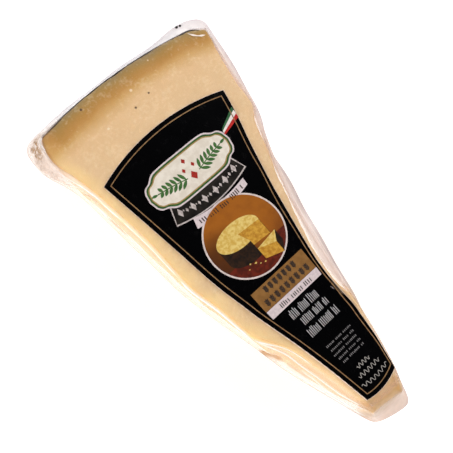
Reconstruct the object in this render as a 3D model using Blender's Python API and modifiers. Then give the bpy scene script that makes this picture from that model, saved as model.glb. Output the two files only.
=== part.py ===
"""A wedge of black-rind hard cheese, shrunk into a clear vacuum pouch, with a wedge-shaped label.

The wedge lies on one cut face. In plan it is a slice of a round wheel: two long cuts, the arc of the
rind at the wide end (+Y) and a short cut across the tip (-Y). The pouch clings to the flat top and the
sides, and where its two sheets meet it stands out as a wavy fin that runs all the way round.

Plan sizes are in millimetres from the point where the two long cuts would meet, with +Y towards the
rind and +X to the right. Heights are in millimetres above the surface that the pack lies on. At the end
everything moves so that the origin is at the centre of the pack's outer box, on that surface.
"""

import math

import bmesh
import bpy
import numpy as np

MM = 0.001

# ---- the wedge ----
PACK_HEIGHT = 32.0
WHEEL_RADIUS = 192.0
WHEEL_CENTRE_Y = -8.0
# Each long edge is (distance from the point, offset from the middle), from the tip to the rind.
TOP_LEFT = [(36, -6.2), (41, -6.9), (52, -9.1), (62, -11.9), (70, -14.6), (77, -19.0), (84, -22.8),
            (98, -26.0), (111, -29.2), (128, -30.1), (146, -32.6), (164, -36.2), (180, -37.4)]
TOP_RIGHT = [(34.5, 8.4), (41, 10.8), (52, 12.9), (62, 14.4), (78, 16.1), (96, 18.0), (112, 20.8),
             (128, 25.2), (140, 29.3), (150, 32.0), (164, 33.2), (180, 35.4)]
BASE_LEFT = [(38, -7.4), (52, -12.4), (65, -16.6), (76, -19.6), (88, -22.9), (101, -26.2),
             (120, -29.2), (146, -32.4), (164, -35.6), (180, -36.8)]
BASE_RIGHT = [(36, 8.6), (52, 12.6), (62, 14.2), (96, 19.0), (128, 25.6), (150, 31.0), (180, 35.2)]
CORNER_START = 30.0
CORNER_DROP = 0.12

# ---- the fin, where the pouch's two sheets meet ----
FIN_LEFT = [(27.9, -4.9), (35, -7.9), (43, -10.7), (53, -14.5), (65, -18.5), (76, -21.3), (88, -24.7),
            (101, -28.2), (111, -30.3), (123, -31.6), (137, -33.6), (146, -34.7), (157, -36.1),
            (166, -38.3), (175, -42.1), (184.7, -42.2)]
FIN_RIGHT = [(25.8, 9.4), (32, 11.1), (40, 12.8), (50, 14.5), (60, 16.6), (70, 18.8), (79, 20.0),
             (90, 21.8), (105, 24.9), (114, 26.8), (121, 27.6), (128.5, 28.2), (134, 29.7),
             (142, 33.5), (151, 36.2), (162, 38.7), (174, 40.0), (186.5, 41.4)]
FIN_PAST_RIND = [(-42, 6.5), (-30, 5.8), (-18, 5.0), (-5, 5.3), (18, 5.9), (27, 7.2), (33, 7.8),
                 (42, 6.6)]
FIN_HEIGHT = {"left": 15.0, "rind": 17.0, "right": 21.0, "tip": 23.0}
FIN_HALF_THICKNESS = 0.5
FIN_EDGE = 0.3
# The fin waves up and down as two sines: (height, length between crests, where it starts in radians).
FIN_WAVES = [(0.9, 56.0, 0.0), (0.55, 26.0, 1.3)]

# How the pouch falls from the top's edge to the fin: 1 is straight, and more hugs the wall first.
FALL = {"left": 1.1, "rind": 2.2, "right": 2.0, "tip": 1.5}
RISE_FROM_BASE = 1.8
EDGE_RADIUS = {"left": 1.6, "rind": 1.2, "right": 1.5, "tip": 2.0}
BASE_RADIUS = 1.6

# ---- the crumpled ear of film at the rind's left corner ----
EAR_CENTRE = (-39.0, 178.0)
EAR_REACH = 11.0
EAR_FALL = 0.75
EAR_CREASE = 0.9
EAR_CREASE_PITCH = 2.6
EAR_EDGE_SHARE = 0.3

# ---- how finely the outline is divided ----
STATIONS = {"left": 78, "rind": 40, "right": 78, "tip": 16}
SIDES = ["left", "rind", "right", "tip"]
FINE = 4
EDGE_TURNS = (0, 30, 60, 90)
FLANK_STEPS = (0.25, 0.5, 0.75)
BASE_TURNS = (90, 45, 0)
CORNER_SMOOTHING = 3.5
HEIGHT_SMOOTHING = 26.0
SHARP_ANGLE = math.radians(40)

# ---- the label, a slice of its own with rounded ends, stuck on a little askew ----
# It has its own point and turn. Each long cut is (distance from that point, offset from its middle).
LABEL_POINT = (4.8, -3.9)
LABEL_TURN = math.radians(2.4)
LABEL_LEFT = [(45, -7.6), (62, -10.6), (79, -13.9), (94, -17.3), (110, -20.6), (130, -23.3), (162, -27.7)]
LABEL_RIGHT = [(45, 7.7), (54, 9.4), (60, 10.3), (68, 10.7), (76, 11.0), (84, 11.1), (90, 11.7), (97, 12.9),
               (104, 14.1), (112, 16.0), (120, 18.0), (140, 23.0), (162, 27.7)]
LABEL_TOP_CENTRE = 86.3
LABEL_TOP_RADIUS = 78.3
LABEL_END_CENTRE = 66.3
LABEL_END_RADIUS = 21.7
LABEL_END_OFFSET = -1.4
LABEL_GAP = 0.3
LABEL_THICKNESS = 0.3
LABEL_ACROSS = 22
LABEL_ALONG = 30
LABEL_WRAP_LIMIT = math.radians(75)

COLLECTION = bpy.data.collections.new("wedge_of_hard_cheese")


def start_empty():
    """Removes whatever the file opened with and adds the part's own collection."""
    for thing in list(bpy.data.objects):
        bpy.data.objects.remove(thing)
    bpy.context.scene.collection.children.link(COLLECTION)


def finish(name, colour, roughness, metallic=0.0):
    """A plain Principled material of one colour."""
    material = bpy.data.materials.new(name)
    material.use_nodes = True
    shader = material.node_tree.nodes["Principled BSDF"]
    shader.inputs["Base Color"].default_value = (*colour, 1.0)
    shader.inputs["Roughness"].default_value = roughness
    shader.inputs["Metallic"].default_value = metallic
    return material


def curve_through(points):
    """A smooth function through the points that never overshoots between them (monotone cubic)."""
    where, value = np.array(points, float).T
    step = np.diff(where)
    slope = np.diff(value) / step
    tangent = np.zeros(len(where))
    same_way = slope[:-1] * slope[1:] > 0
    weight_a = 2 * step[1:] + step[:-1]
    weight_b = step[1:] + 2 * step[:-1]
    safe_a = np.where(same_way, slope[:-1], 1.0)
    safe_b = np.where(same_way, slope[1:], 1.0)
    mean = (weight_a + weight_b) / (weight_a / safe_a + weight_b / safe_b)
    tangent[1:-1] = np.where(same_way, mean, 0.0)
    tangent[0] = slope[0]
    tangent[-1] = slope[-1]

    def value_at(x):
        x = np.asarray(x, float)
        i = np.clip(np.searchsorted(where, x) - 1, 0, len(step) - 1)
        t = (x - where[i]) / step[i]
        return ((2 * t**3 - 3 * t**2 + 1) * value[i] + (t**3 - 2 * t**2 + t) * step[i] * tangent[i]
                + (3 * t**2 - 2 * t**3) * value[i + 1] + (t**3 - t**2) * step[i] * tangent[i + 1])

    return value_at


def rind_arc(x):
    """The rind's distance from the wedge's point at offset x: the arc of the wheel."""
    return WHEEL_CENTRE_Y + np.sqrt(WHEEL_RADIUS**2 - x**2)


def worn_corner(x):
    """How far the rind's right corner is rounded off at offset x, as a step back from the arc."""
    return -CORNER_DROP * np.clip(x - CORNER_START, 0, None) ** 2


def smooth_round(values, reach):
    """A Gaussian average of a closed row of values, reach samples wide."""
    half = int(3 * reach)
    kernel = np.exp(-0.5 * (np.arange(-half, half + 1) / reach) ** 2)
    kernel /= kernel.sum()
    columns = values.reshape(len(values), -1)
    padded = np.concatenate([columns[-half:], columns, columns[:half]])
    averaged = [np.convolve(column, kernel, "valid") for column in padded.T]
    return np.stack(averaged, axis=1).reshape(values.shape)


def along(side):
    """The fine stations of one side, from 0 up to but not including 1."""
    count = STATIONS[side] * FINE
    return np.arange(count) / count


def level_outline(left, right, past_rind):
    """One level's closed outline: up the left edge, over the rind, down the right edge, over the tip."""
    left_x, right_x = curve_through(left), curve_through(right)
    tip_left, corner_left = left[0][0], left[-1][0]
    tip_right, corner_right = right[0][0], right[-1][0]
    up = tip_left + (corner_left - tip_left) * along("left")
    down = corner_right + (tip_right - corner_right) * along("right")
    over = left[-1][1] + (right[-1][1] - left[-1][1]) * along("rind")
    back = along("tip")
    tip_x = right[0][1] + (left[0][1] - right[0][1]) * back
    tip_y = tip_right + (tip_left - tip_right) * back
    corners = [np.stack([left_x(up), up], axis=1),
               np.stack([over, rind_arc(over) + past_rind(over)], axis=1),
               np.stack([right_x(down), down], axis=1),
               np.stack([tip_x, tip_y], axis=1)]
    return smooth_round(np.concatenate(corners), CORNER_SMOOTHING)[::FINE]


def round_the_sides(by_side, reach=HEIGHT_SMOOTHING):
    """A value for each station that eases from one side's value to the next."""
    steps = np.concatenate([np.full(STATIONS[side] * FINE, by_side[side]) for side in SIDES])
    return smooth_round(steps, reach)[::FINE]


def outward(outline):
    """The unit normals, in plan, of a closed outline that runs clockwise."""
    tangent = np.roll(outline, -1, axis=0) - np.roll(outline, 1, axis=0)
    normal = np.stack([-tangent[:, 1], tangent[:, 0]], axis=1)
    return normal / np.linalg.norm(normal, axis=1)[:, None]


def pack_rings():
    """The pouch as closed rings of points, from the top face's inner ring down to the base's."""
    top = level_outline(TOP_LEFT, TOP_RIGHT, worn_corner)
    fin = level_outline(FIN_LEFT, FIN_RIGHT, curve_through(FIN_PAST_RIND))
    base = level_outline(BASE_LEFT, BASE_RIGHT, worn_corner)
    out_top, out_fin, out_base = outward(top), outward(fin), outward(base)
    radius = round_the_sides(EDGE_RADIUS)
    ear = np.exp(-((fin[:, 0] - EAR_CENTRE[0]) ** 2 + (fin[:, 1] - EAR_CENTRE[1]) ** 2) / EAR_REACH**2)
    fall = round_the_sides(FALL) * (1 - ear) + EAR_FALL * ear
    travel = np.cumsum(np.linalg.norm(fin - np.roll(fin, 1, axis=0), axis=1))
    wave = sum(size * np.sin(2 * math.pi * travel / length + start) for size, length, start in FIN_WAVES)
    height = round_the_sides(FIN_HEIGHT) + wave
    crease = ear * EAR_CREASE * np.sin(2 * math.pi * travel / EAR_CREASE_PITCH)

    def ring(plan, level):
        return np.column_stack([plan, np.broadcast_to(level, len(plan))])

    rings = []
    for degrees in EDGE_TURNS:
        turn = math.radians(degrees)
        inset = radius * (1 - math.sin(turn))
        drop = radius * (1 - math.cos(turn))
        rings.append(ring(top - out_top * inset[:, None], PACK_HEIGHT - drop))
    start = PACK_HEIGHT - radius
    for step in FLANK_STEPS:
        share = step**fall
        sink = 1 - (1 - step) ** fall
        plan = top + (fin - top) * share[:, None] + out_fin * (crease * math.sin(math.pi * step))[:, None]
        rings.append(ring(plan, start + (height + FIN_HALF_THICKNESS - start) * sink))
    rings.append(ring(fin, height + FIN_HALF_THICKNESS))
    rings.append(ring(fin + out_fin * (FIN_EDGE + EAR_EDGE_SHARE * crease)[:, None], height))
    rings.append(ring(fin, height - FIN_HALF_THICKNESS))
    for step in reversed(FLANK_STEPS):
        share = step**RISE_FROM_BASE
        climb = 1 - (1 - step) ** RISE_FROM_BASE
        plan = base + (fin - base) * share
        rings.append(ring(plan, BASE_RADIUS + (height - FIN_HALF_THICKNESS - BASE_RADIUS) * climb))
    for degrees in BASE_TURNS:
        turn = math.radians(degrees)
        inset = BASE_RADIUS * (1 - math.sin(turn))
        rings.append(ring(base - out_base * inset, BASE_RADIUS * (1 - math.cos(turn))))
    return rings


def lofted(name, rings, material):
    """A closed body through the rings, with a flat face at each end."""
    around = len(rings[0])
    points = np.concatenate(rings) * MM
    faces = []
    for row in range(len(rings) - 1):
        for i in range(around):
            j = (i + 1) % around
            a, b = row * around + i, row * around + j
            faces.append((a, b, b + around, a + around))
    last = (len(rings) - 1) * around
    faces.append(tuple(range(around - 1, -1, -1)))
    faces.append(tuple(range(last, last + around)))
    return placed(name, points, faces, material)


def placed(name, points, faces, material):
    """An object with these points and faces, facing out and shaded smooth, in the part's collection."""
    mesh = bpy.data.meshes.new(name)
    mesh.from_pydata(points.tolist(), [], faces)
    shape = bmesh.new()
    shape.from_mesh(mesh)
    bmesh.ops.recalc_face_normals(shape, faces=shape.faces)
    shape.to_mesh(mesh)
    shape.free()
    mesh.shade_smooth()
    mesh.set_sharp_from_angle(angle=SHARP_ANGLE)
    mesh.materials.append(material)
    thing = bpy.data.objects.new(name, mesh)
    COLLECTION.objects.link(thing)
    return thing


def label_plan(across, up):
    """Points of the label lying flat. across is -1 to 1 between its cuts, and up 0 to 1 from end to end."""
    left, right = curve_through(LABEL_LEFT), curve_through(LABEL_RIGHT)

    def between_cuts(far):
        """The offset at this distance, as far across from the left cut to the right one as across says."""
        return left(far) + (right(far) - left(far)) * (across + 1) / 2

    top_far = LABEL_TOP_CENTRE + math.sqrt(LABEL_TOP_RADIUS**2 - LABEL_LEFT[-1][1] ** 2)
    end_far = LABEL_END_CENTRE - math.sqrt(LABEL_END_RADIUS**2 - (LABEL_LEFT[0][1] - LABEL_END_OFFSET) ** 2)
    top = LABEL_TOP_CENTRE + np.sqrt(LABEL_TOP_RADIUS**2 - between_cuts(top_far) ** 2)
    end = LABEL_END_CENTRE - np.sqrt(LABEL_END_RADIUS**2 - (between_cuts(end_far) - LABEL_END_OFFSET) ** 2)
    sideways = between_cuts(end_far + (top_far - end_far) * up)
    distance = end + (top - end) * up
    x = LABEL_POINT[0] + sideways * math.cos(LABEL_TURN) - distance * math.sin(LABEL_TURN)
    y = LABEL_POINT[1] + sideways * math.sin(LABEL_TURN) + distance * math.cos(LABEL_TURN)
    return x, y


def laid_on_pack(x, y, lift):
    """Puts flat points on the pack's top, lift above it, bent down where they pass its right edge."""
    radius = EDGE_RADIUS["right"]
    bend_start = curve_through(TOP_RIGHT)(np.clip(y, TOP_RIGHT[0][0], None)) - radius
    turn = np.clip((x - bend_start) / radius, 0, LABEL_WRAP_LIMIT)
    bent = turn > 0
    folded_x = np.where(bent, bend_start + (radius + lift) * np.sin(turn), x)
    z = PACK_HEIGHT - radius + (radius + lift) * np.cos(turn)
    return folded_x, y, np.where(bent, z, PACK_HEIGHT + lift)


def label_sheet(material):
    """The label as one sheet on the pouch, given its thickness upwards."""
    across, up = np.meshgrid(np.linspace(-1, 1, LABEL_ACROSS + 1), np.linspace(0, 1, LABEL_ALONG + 1))
    x, y, z = laid_on_pack(*label_plan(across.ravel(), up.ravel()), LABEL_GAP)
    points = np.column_stack([x, y, z]) * MM
    columns = LABEL_ACROSS + 1
    faces = [(a, a + 1, a + 1 + columns, a + columns)
             for row in range(LABEL_ALONG)
             for a in range(row * columns, row * columns + LABEL_ACROSS)]
    sheet = placed("label", points, faces, material)
    if sheet.data.polygons[0].normal.z < 0:
        sheet.data.flip_normals()
    wall = sheet.modifiers.new("thickness", "SOLIDIFY")
    wall.thickness = LABEL_THICKNESS * MM
    wall.offset = 1.0
    return sheet


def centre_on_base(things, leader):
    """Moves everything so that the origin is under the middle of the leader's outer box."""
    points = np.empty(len(leader.data.vertices) * 3)
    leader.data.vertices.foreach_get("co", points)
    points = points.reshape(-1, 3)
    middle = (points.min(axis=0) + points.max(axis=0)) / 2
    for thing in things:
        co = np.empty(len(thing.data.vertices) * 3)
        thing.data.vertices.foreach_get("co", co)
        moved = co.reshape(-1, 3) - [middle[0], middle[1], 0.0]
        thing.data.vertices.foreach_set("co", moved.ravel())
        thing.data.update()


start_empty()
cheese_finish = finish("cheese_under_film", (0.79, 0.56, 0.33), 0.35)
print_finish = finish("label_print", (0.006, 0.006, 0.008), 0.4)
pack = lofted("vacuum_pack", pack_rings(), cheese_finish)
label = label_sheet(print_finish)
centre_on_base([pack, label], pack)
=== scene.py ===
import math

import bmesh
import bpy
import numpy as np
from mathutils import Matrix, Vector


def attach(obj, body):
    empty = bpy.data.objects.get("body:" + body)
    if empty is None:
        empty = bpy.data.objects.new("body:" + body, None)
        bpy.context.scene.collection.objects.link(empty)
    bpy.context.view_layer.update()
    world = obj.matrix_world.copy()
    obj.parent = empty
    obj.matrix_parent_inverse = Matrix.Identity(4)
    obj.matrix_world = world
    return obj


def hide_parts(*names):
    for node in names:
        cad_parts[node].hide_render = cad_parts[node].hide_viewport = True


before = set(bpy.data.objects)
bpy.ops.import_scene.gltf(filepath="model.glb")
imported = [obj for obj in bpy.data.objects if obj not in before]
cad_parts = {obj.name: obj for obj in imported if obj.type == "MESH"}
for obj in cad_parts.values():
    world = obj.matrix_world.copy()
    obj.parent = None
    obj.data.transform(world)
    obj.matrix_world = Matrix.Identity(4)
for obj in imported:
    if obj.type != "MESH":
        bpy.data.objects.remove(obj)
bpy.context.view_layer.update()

# ---------------------------------------------------------------- the cheese
# The paste of a hard, matured cheese: a sixteenth of a wheel, cut down both long sides and across the
# tip, lying on a cut face. It has dried darker under the rind. Its face is filled from its outline, its
# walls are lofted from the outline of the top to that of the base, and both are roughened a little.

# Plan sizes are in millimetres from the point where the long cuts would meet, and heights are above the
# surface that the pack lies on. This is that point in the part's own frame.
WEDGE_POINT = np.array([0.674, -107.743, 0.0])
WHEEL_RADIUS = 192.0
WHEEL_CENTRE_Y = -8.0
PACK_HEIGHT = 32.0

# Each long edge is (distance from the point, offset from the middle), from the tip to the rind.
TOP_LEFT = [(35.4, -6.2), (41, -6.9), (52, -9.1), (62, -11.9), (70, -14.6), (77, -19.0), (84, -22.8),
            (98, -26.0), (111, -29.2), (128, -30.1), (146, -32.6), (157, -34.7), (164, -36.5), (171, -38.3),
            (176, -38.0), (180, -37.4)]
TOP_RIGHT = [(33.9, 8.3), (41, 10.8), (52, 12.9), (62, 14.4), (78, 16.1), (96, 18.0), (112, 20.8),
             (128, 25.2), (140, 29.3), (150, 32.0), (164, 33.2), (180, 35.4)]
BASE_LEFT = [(38, -7.4), (52, -12.4), (65, -16.6), (76, -19.6), (88, -22.9), (101, -26.2),
             (120, -29.2), (146, -32.4), (164, -35.6), (180, -36.8)]
BASE_RIGHT = [(36, 8.6), (52, 12.6), (62, 14.2), (96, 19.0), (128, 25.6), (150, 31.0), (180, 35.2)]
# The rind's right corner is worn back from this offset on, by this much for each square millimetre past it.
CORNER_START = 30.0
CORNER_DROP = 0.12

# The cheese's own edges, inside the film's: a gap on the left, and where it can be seen to end on the right.
GAP_LEFT = [(36, 0.6), (60, 0.6), (160, 0.45), (171, 0.5), (176, 1.3), (180, 1.4)]
GAP_RIGHT = [(34, 0.9), (180, 1.0)]
CHEESE_RIGHT = [(33.9, 7.5), (41, 9.9), (52, 12.1), (58, 13.3), (63, 14.0), (69, 14.9), (73, 15.0),
                (76, 14.3), (80, 13.8), (87, 13.7), (93, 14.5), (99, 15.9), (105, 17.4), (112, 19.1),
                (117, 20.4), (123, 21.9), (132, 24.9), (139, 26.6), (143, 28.6), (146, 30.7),
                (151, 30.9), (156, 31.2), (163, 31.8), (170, 33.0), (177, 34.3), (180, 34.5)]
GAP_TIP = 0.3
GAP_RIND = 0.42
CHEESE_TOP = 31.7
CHEESE_BASE = 0.25
# The radius of the top's edge on each side, over how many stations it eases into the next, and the base's.
CHEESE_EDGE = {"left": 2.6, "rind": 0.5, "right": 1.0, "tip": 3.0}
EDGE_EASE = 20.0
CHEESE_BASE_EDGE = 1.0

# Every outline has this many stations along each long side and across each end.
ALONG = 260
ACROSS = 110
SIDES = {"left": ALONG, "rind": ACROSS, "right": ALONG, "tip": ACROSS}


def curve_through(points):
    """A smooth function through the points that never overshoots between them (monotone cubic)."""
    where, value = np.array(points, float).T
    step = np.diff(where)
    slope = np.diff(value) / step
    tangent = np.zeros(len(where))
    same_way = slope[:-1] * slope[1:] > 0
    weight_a = 2 * step[1:] + step[:-1]
    weight_b = step[1:] + 2 * step[:-1]
    safe_a = np.where(same_way, slope[:-1], 1.0)
    safe_b = np.where(same_way, slope[1:], 1.0)
    mean = (weight_a + weight_b) / (weight_a / safe_a + weight_b / safe_b)
    tangent[1:-1] = np.where(same_way, mean, 0.0)
    tangent[0] = slope[0]
    tangent[-1] = slope[-1]

    def value_at(x):
        x = np.clip(np.asarray(x, float), where[0], where[-1])
        i = np.clip(np.searchsorted(where, x) - 1, 0, len(step) - 1)
        t = (x - where[i]) / step[i]
        return ((2 * t**3 - 3 * t**2 + 1) * value[i] + (t**3 - 2 * t**2 + t) * step[i] * tangent[i]
                + (3 * t**2 - 2 * t**3) * value[i + 1] + (t**3 - t**2) * step[i] * tangent[i + 1])

    return value_at


def smooth_round(values, reach):
    """A Gaussian average along a closed row of values, reach samples wide."""
    half = int(3 * reach) + 1
    kernel = np.exp(-0.5 * (np.arange(-half, half + 1) / reach) ** 2)
    kernel /= kernel.sum()
    columns = values.reshape(len(values), -1)
    padded = np.concatenate([columns[-half:], columns, columns[:half]])
    averaged = [np.convolve(column, kernel, "valid") for column in padded.T]
    return np.stack(averaged, axis=1).reshape(values.shape)


def plan_outline(left, right, past_rind, tip_gap=0.0, smoothing=6.0):
    """A closed outline in plan: up the left edge, over the rind's arc, down the right edge, over the tip."""
    fine = 2
    left_x, right_x = curve_through(left), curve_through(right)
    going_up = np.arange(ALONG * fine) / (ALONG * fine)
    going_over = np.arange(ACROSS * fine) / (ACROSS * fine)
    tip_left, corner_left = left[0][0] + tip_gap, left[-1][0]
    tip_right, corner_right = right[0][0] + tip_gap, right[-1][0]
    up = tip_left + (corner_left - tip_left) * going_up
    down = corner_right + (tip_right - corner_right) * going_up
    over = left[-1][1] + (right[-1][1] - left[-1][1]) * going_over
    arc = WHEEL_CENTRE_Y + np.sqrt(WHEEL_RADIUS**2 - over**2) + past_rind(over)
    tip_x = right_x(tip_right) + (left_x(tip_left) - right_x(tip_right)) * going_over
    tip_y = tip_right + (tip_left - tip_right) * going_over
    loop = np.concatenate([np.stack([left_x(up), up], axis=1), np.stack([over, arc], axis=1),
                           np.stack([right_x(down), down], axis=1), np.stack([tip_x, tip_y], axis=1)])
    return smooth_round(loop, smoothing)[::fine]


def round_the_sides(by_side, reach=70.0):
    """One value for each station of an outline, easing from each side's value to the next side's."""
    steps = [np.full(count, by_side[side]) for side, count in SIDES.items()]
    return smooth_round(np.concatenate(steps), reach)


def outward(loop):
    """Unit normals in plan of an outline that runs clockwise."""
    tangent = np.roll(loop, -1, axis=0) - np.roll(loop, 1, axis=0)
    normal = np.stack([-tangent[:, 1], tangent[:, 0]], axis=1)
    return normal / np.linalg.norm(normal, axis=1)[:, None]


def at_height(loop, height):
    """A plan outline as a ring of points at one height, or at a height for each of its stations."""
    return np.column_stack([loop, np.broadcast_to(height, len(loop))])


def filled(ring):
    """A sheet of points inside a ring: left blended to right, plus tip to rind, less the corners' part."""
    left = ring[:ALONG + 1]
    rind = ring[ALONG:ALONG + ACROSS + 1]
    right = ring[ALONG + ACROSS:2 * ALONG + ACROSS + 1][::-1]
    tip = np.concatenate([ring[2 * ALONG + ACROSS:], ring[:1]])[::-1]
    u = np.linspace(0, 1, ACROSS + 1)[None, :, None]
    v = np.linspace(0, 1, ALONG + 1)[:, None, None]
    sides = (1 - u) * left[:, None] + u * right[:, None]
    ends = (1 - v) * tip[None] + v * rind[None]
    corners = (1 - v) * ((1 - u) * left[0] + u * right[0]) + v * ((1 - u) * left[-1] + u * right[-1])
    return sides + ends - corners


def grid_faces(ids):
    """The quads between neighbouring rows and columns of a grid of point numbers."""
    return np.stack([ids[:-1, :-1], ids[:-1, 1:], ids[1:, 1:], ids[1:, :-1]], axis=-1).reshape(-1, 4)


def skin(rings, close_base=True):
    """Points and faces of a body: a sheet inside the first ring, walls between rings, a sheet at the end."""
    sheet = filled(rings[0])
    ids = np.arange(sheet.shape[0] * sheet.shape[1]).reshape(sheet.shape[:2])
    rim = np.concatenate([ids[:-1, 0], ids[-1, :-1], ids[:0:-1, -1], ids[0, :0:-1]])
    walls = rings[1:-1] if close_base else rings[1:]
    points = np.concatenate([sheet.reshape(-1, 3)] + walls)
    starts = ids.size + len(rim) * np.arange(len(walls))
    loops = [rim] + [start + np.arange(len(rim)) for start in starts]
    faces = [grid_faces(ids)]
    if close_base:
        loops.append(len(points) + rim)
        faces.append(grid_faces(len(points) + ids))
        points = np.concatenate([points, filled(rings[-1]).reshape(-1, 3)])
    loops = np.array([np.append(loop, loop[0]) for loop in loops])
    faces.append(grid_faces(loops))
    return points, np.concatenate(faces)


def in_metres(points):
    """Millimetres from the wedge's point, as metres in the part's frame."""
    return (points + WEDGE_POINT) / 1000


def made(name, points, faces, finish, slot, closed=True):
    """A smooth mesh from millimetre points, riding on the part. A closed one has its faces turned out."""
    mesh = bpy.data.meshes.new(name)
    mesh.from_pydata(in_metres(points).tolist(), [], [tuple(map(int, face)) for face in faces])
    if closed:
        shape = bmesh.new()
        shape.from_mesh(mesh)
        bmesh.ops.recalc_face_normals(shape, faces=shape.faces)
        shape.to_mesh(mesh)
        shape.free()
    mesh.shade_smooth()
    mesh.materials.append(finish)
    piece = bpy.data.objects.new(name, mesh)
    bpy.context.scene.collection.objects.link(piece)
    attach(piece, "root")
    return piece


def lumps(points, size, seed, waves=14):
    """A smooth random field from -1 to 1 or so: a sum of sines in random directions, about size apart."""
    chance = np.random.default_rng(seed)
    direction = chance.normal(size=(waves, 3))
    direction /= np.linalg.norm(direction, axis=1)[:, None]
    pitch = size * chance.uniform(0.7, 1.6, waves)
    start = chance.uniform(0, 2 * math.pi, waves)
    phase = points @ (direction / pitch[:, None]).T * 2 * math.pi + start
    return np.sin(phase).sum(axis=-1) / math.sqrt(waves / 2)


def points_of(piece, field="co"):
    """The piece's points, or their normals, as rows."""
    values = np.empty(len(piece.data.vertices) * 3)
    piece.data.vertices.foreach_get(field, values)
    return values.reshape(-1, 3)


def roughen(piece, amount):
    """Moves each point along its own normal by the millimetres that amount gives for its place."""
    place = points_of(piece)
    moved = place + points_of(piece, "normal") * amount(place * 1000 - WEDGE_POINT)[:, None] / 1000
    piece.data.vertices.foreach_set("co", moved.ravel())
    piece.data.update()


def store(piece, name, values):
    """Keeps one value for each point on the mesh, for a material to read."""
    layer = piece.data.attributes.new(name, "FLOAT", "POINT")
    layer.data.foreach_set("value", np.asarray(values, float))


class Shade:
    """One output in a material's nodes. Arithmetic with numbers or other outputs adds Math nodes."""

    def __init__(self, tree, socket=None):
        self.tree = tree
        self.socket = socket

    def node(self, kind, settings=None, inputs=None, output=0):
        """Adds a node: its settings or ramp stops first, then a value or a link for each of its sockets."""
        added = self.tree.nodes.new(kind)
        for setting, value in (settings or {}).items():
            if setting == "stops":
                while len(added.color_ramp.elements) < len(value):
                    added.color_ramp.elements.new(0.5)
                for element, (place, colour) in zip(added.color_ramp.elements, value):
                    element.position = place
                    element.color = (*colour, 1.0)
            else:
                setattr(added, setting, value)
        for name, value in (inputs or {}).items():
            if isinstance(value, Shade):
                self.tree.links.new(value.socket, added.inputs[name])
            else:
                added.inputs[name].default_value = value
        return Shade(self.tree, added.outputs[output])

    def math(self, operation, *values):
        """A Math node on these values."""
        return self.node("ShaderNodeMath", {"operation": operation}, dict(enumerate(values)))

    def __add__(self, other):
        return self.math("ADD", self, other)

    def __radd__(self, other):
        return self.math("ADD", other, self)

    def __sub__(self, other):
        return self.math("SUBTRACT", self, other)

    def __rsub__(self, other):
        return self.math("SUBTRACT", other, self)

    def __mul__(self, other):
        return self.math("MULTIPLY", self, other)

    def __rmul__(self, other):
        return self.math("MULTIPLY", other, self)

    def __truediv__(self, other):
        return self.math("DIVIDE", self, other)

    def between(self, low, high):
        """0 below low, 1 above high, and a smooth step between."""
        return self.node("ShaderNodeMapRange", {"interpolation_type": "SMOOTHSTEP"},
                         {"Value": self, "From Min": low, "From Max": high})

    def mix(self, first, second):
        """The first colour where this is 0 and the second where it is 1."""
        first = (*first, 1.0) if isinstance(first, tuple) else first
        second = (*second, 1.0) if isinstance(second, tuple) else second
        return self.node("ShaderNodeMix", {"data_type": "RGBA"}, {0: self, 6: first, 7: second}, 2)

    def place(self):
        """The point's place in millimetres in the part's frame."""
        metres = self.node("ShaderNodeTexCoord", output="Object")
        return self.node("ShaderNodeVectorMath", {"operation": "SCALE"}, {0: metres, "Scale": 1000.0})

    def squeezed(self, x, y, z):
        """This place with its axes scaled, to stretch a pattern."""
        return self.node("ShaderNodeVectorMath", {"operation": "MULTIPLY"}, {0: self, 1: (x, y, z)})

    def noise(self, size, detail=2.0, roughness=0.5):
        """Cloudy noise from 0 to 1 on this place, with clouds of this many millimetres."""
        return self.node("ShaderNodeTexNoise", None, {"Vector": self, "Scale": 1 / size, "Detail": detail,
                                                      "Roughness": roughness})

    def specks(self, size, radius, softness=0.3):
        """1 inside round specks, one in each cell of this size, of about this radius."""
        reach = self.node("ShaderNodeTexVoronoi", None, {"Vector": self, "Scale": 1 / size}, "Distance")
        return 1 - (reach * size).between(radius * (1 - softness), radius)

    def attribute(self, name):
        """A value stored on the mesh's points."""
        return self.node("ShaderNodeAttribute", {"attribute_name": name}, output="Fac")

    def cells(self, size):
        """How near this place is to the walls between cells of about this size: 1 on a wall, 0 inside."""
        wall = self.node("ShaderNodeTexVoronoi", {"feature": "DISTANCE_TO_EDGE"},
                         {"Vector": self, "Scale": 1 / size}, "Distance")
        return 1 - wall.between(0.02, 0.16)

    def near(self, x, y, z, radius):
        """1 at a place, given in millimetres from the wedge's point, fading to 0 at this radius."""
        spot = tuple(float(value) for value in np.array([x, y, z]) + WEDGE_POINT)
        away = self.node("ShaderNodeVectorMath", {"operation": "DISTANCE"}, {0: self, 1: spot}, "Value")
        return 1 - away.between(radius * 0.45, radius)

    def relief(self, height, depth):
        """A normal bumped by this height field, whose full range stands for this many millimetres."""
        return self.node("ShaderNodeBump", None,
                         {"Height": height, "Distance": depth / 1000, "Strength": 1.0})


def srgb(red, green, blue):
    """A screen colour from 0 to 255 as linear light."""
    value = np.array([red, green, blue]) / 255
    linear = np.where(value <= 0.04045, value / 12.92, ((value + 0.055) / 1.055) ** 2.4)
    return tuple(float(v) for v in linear)


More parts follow.
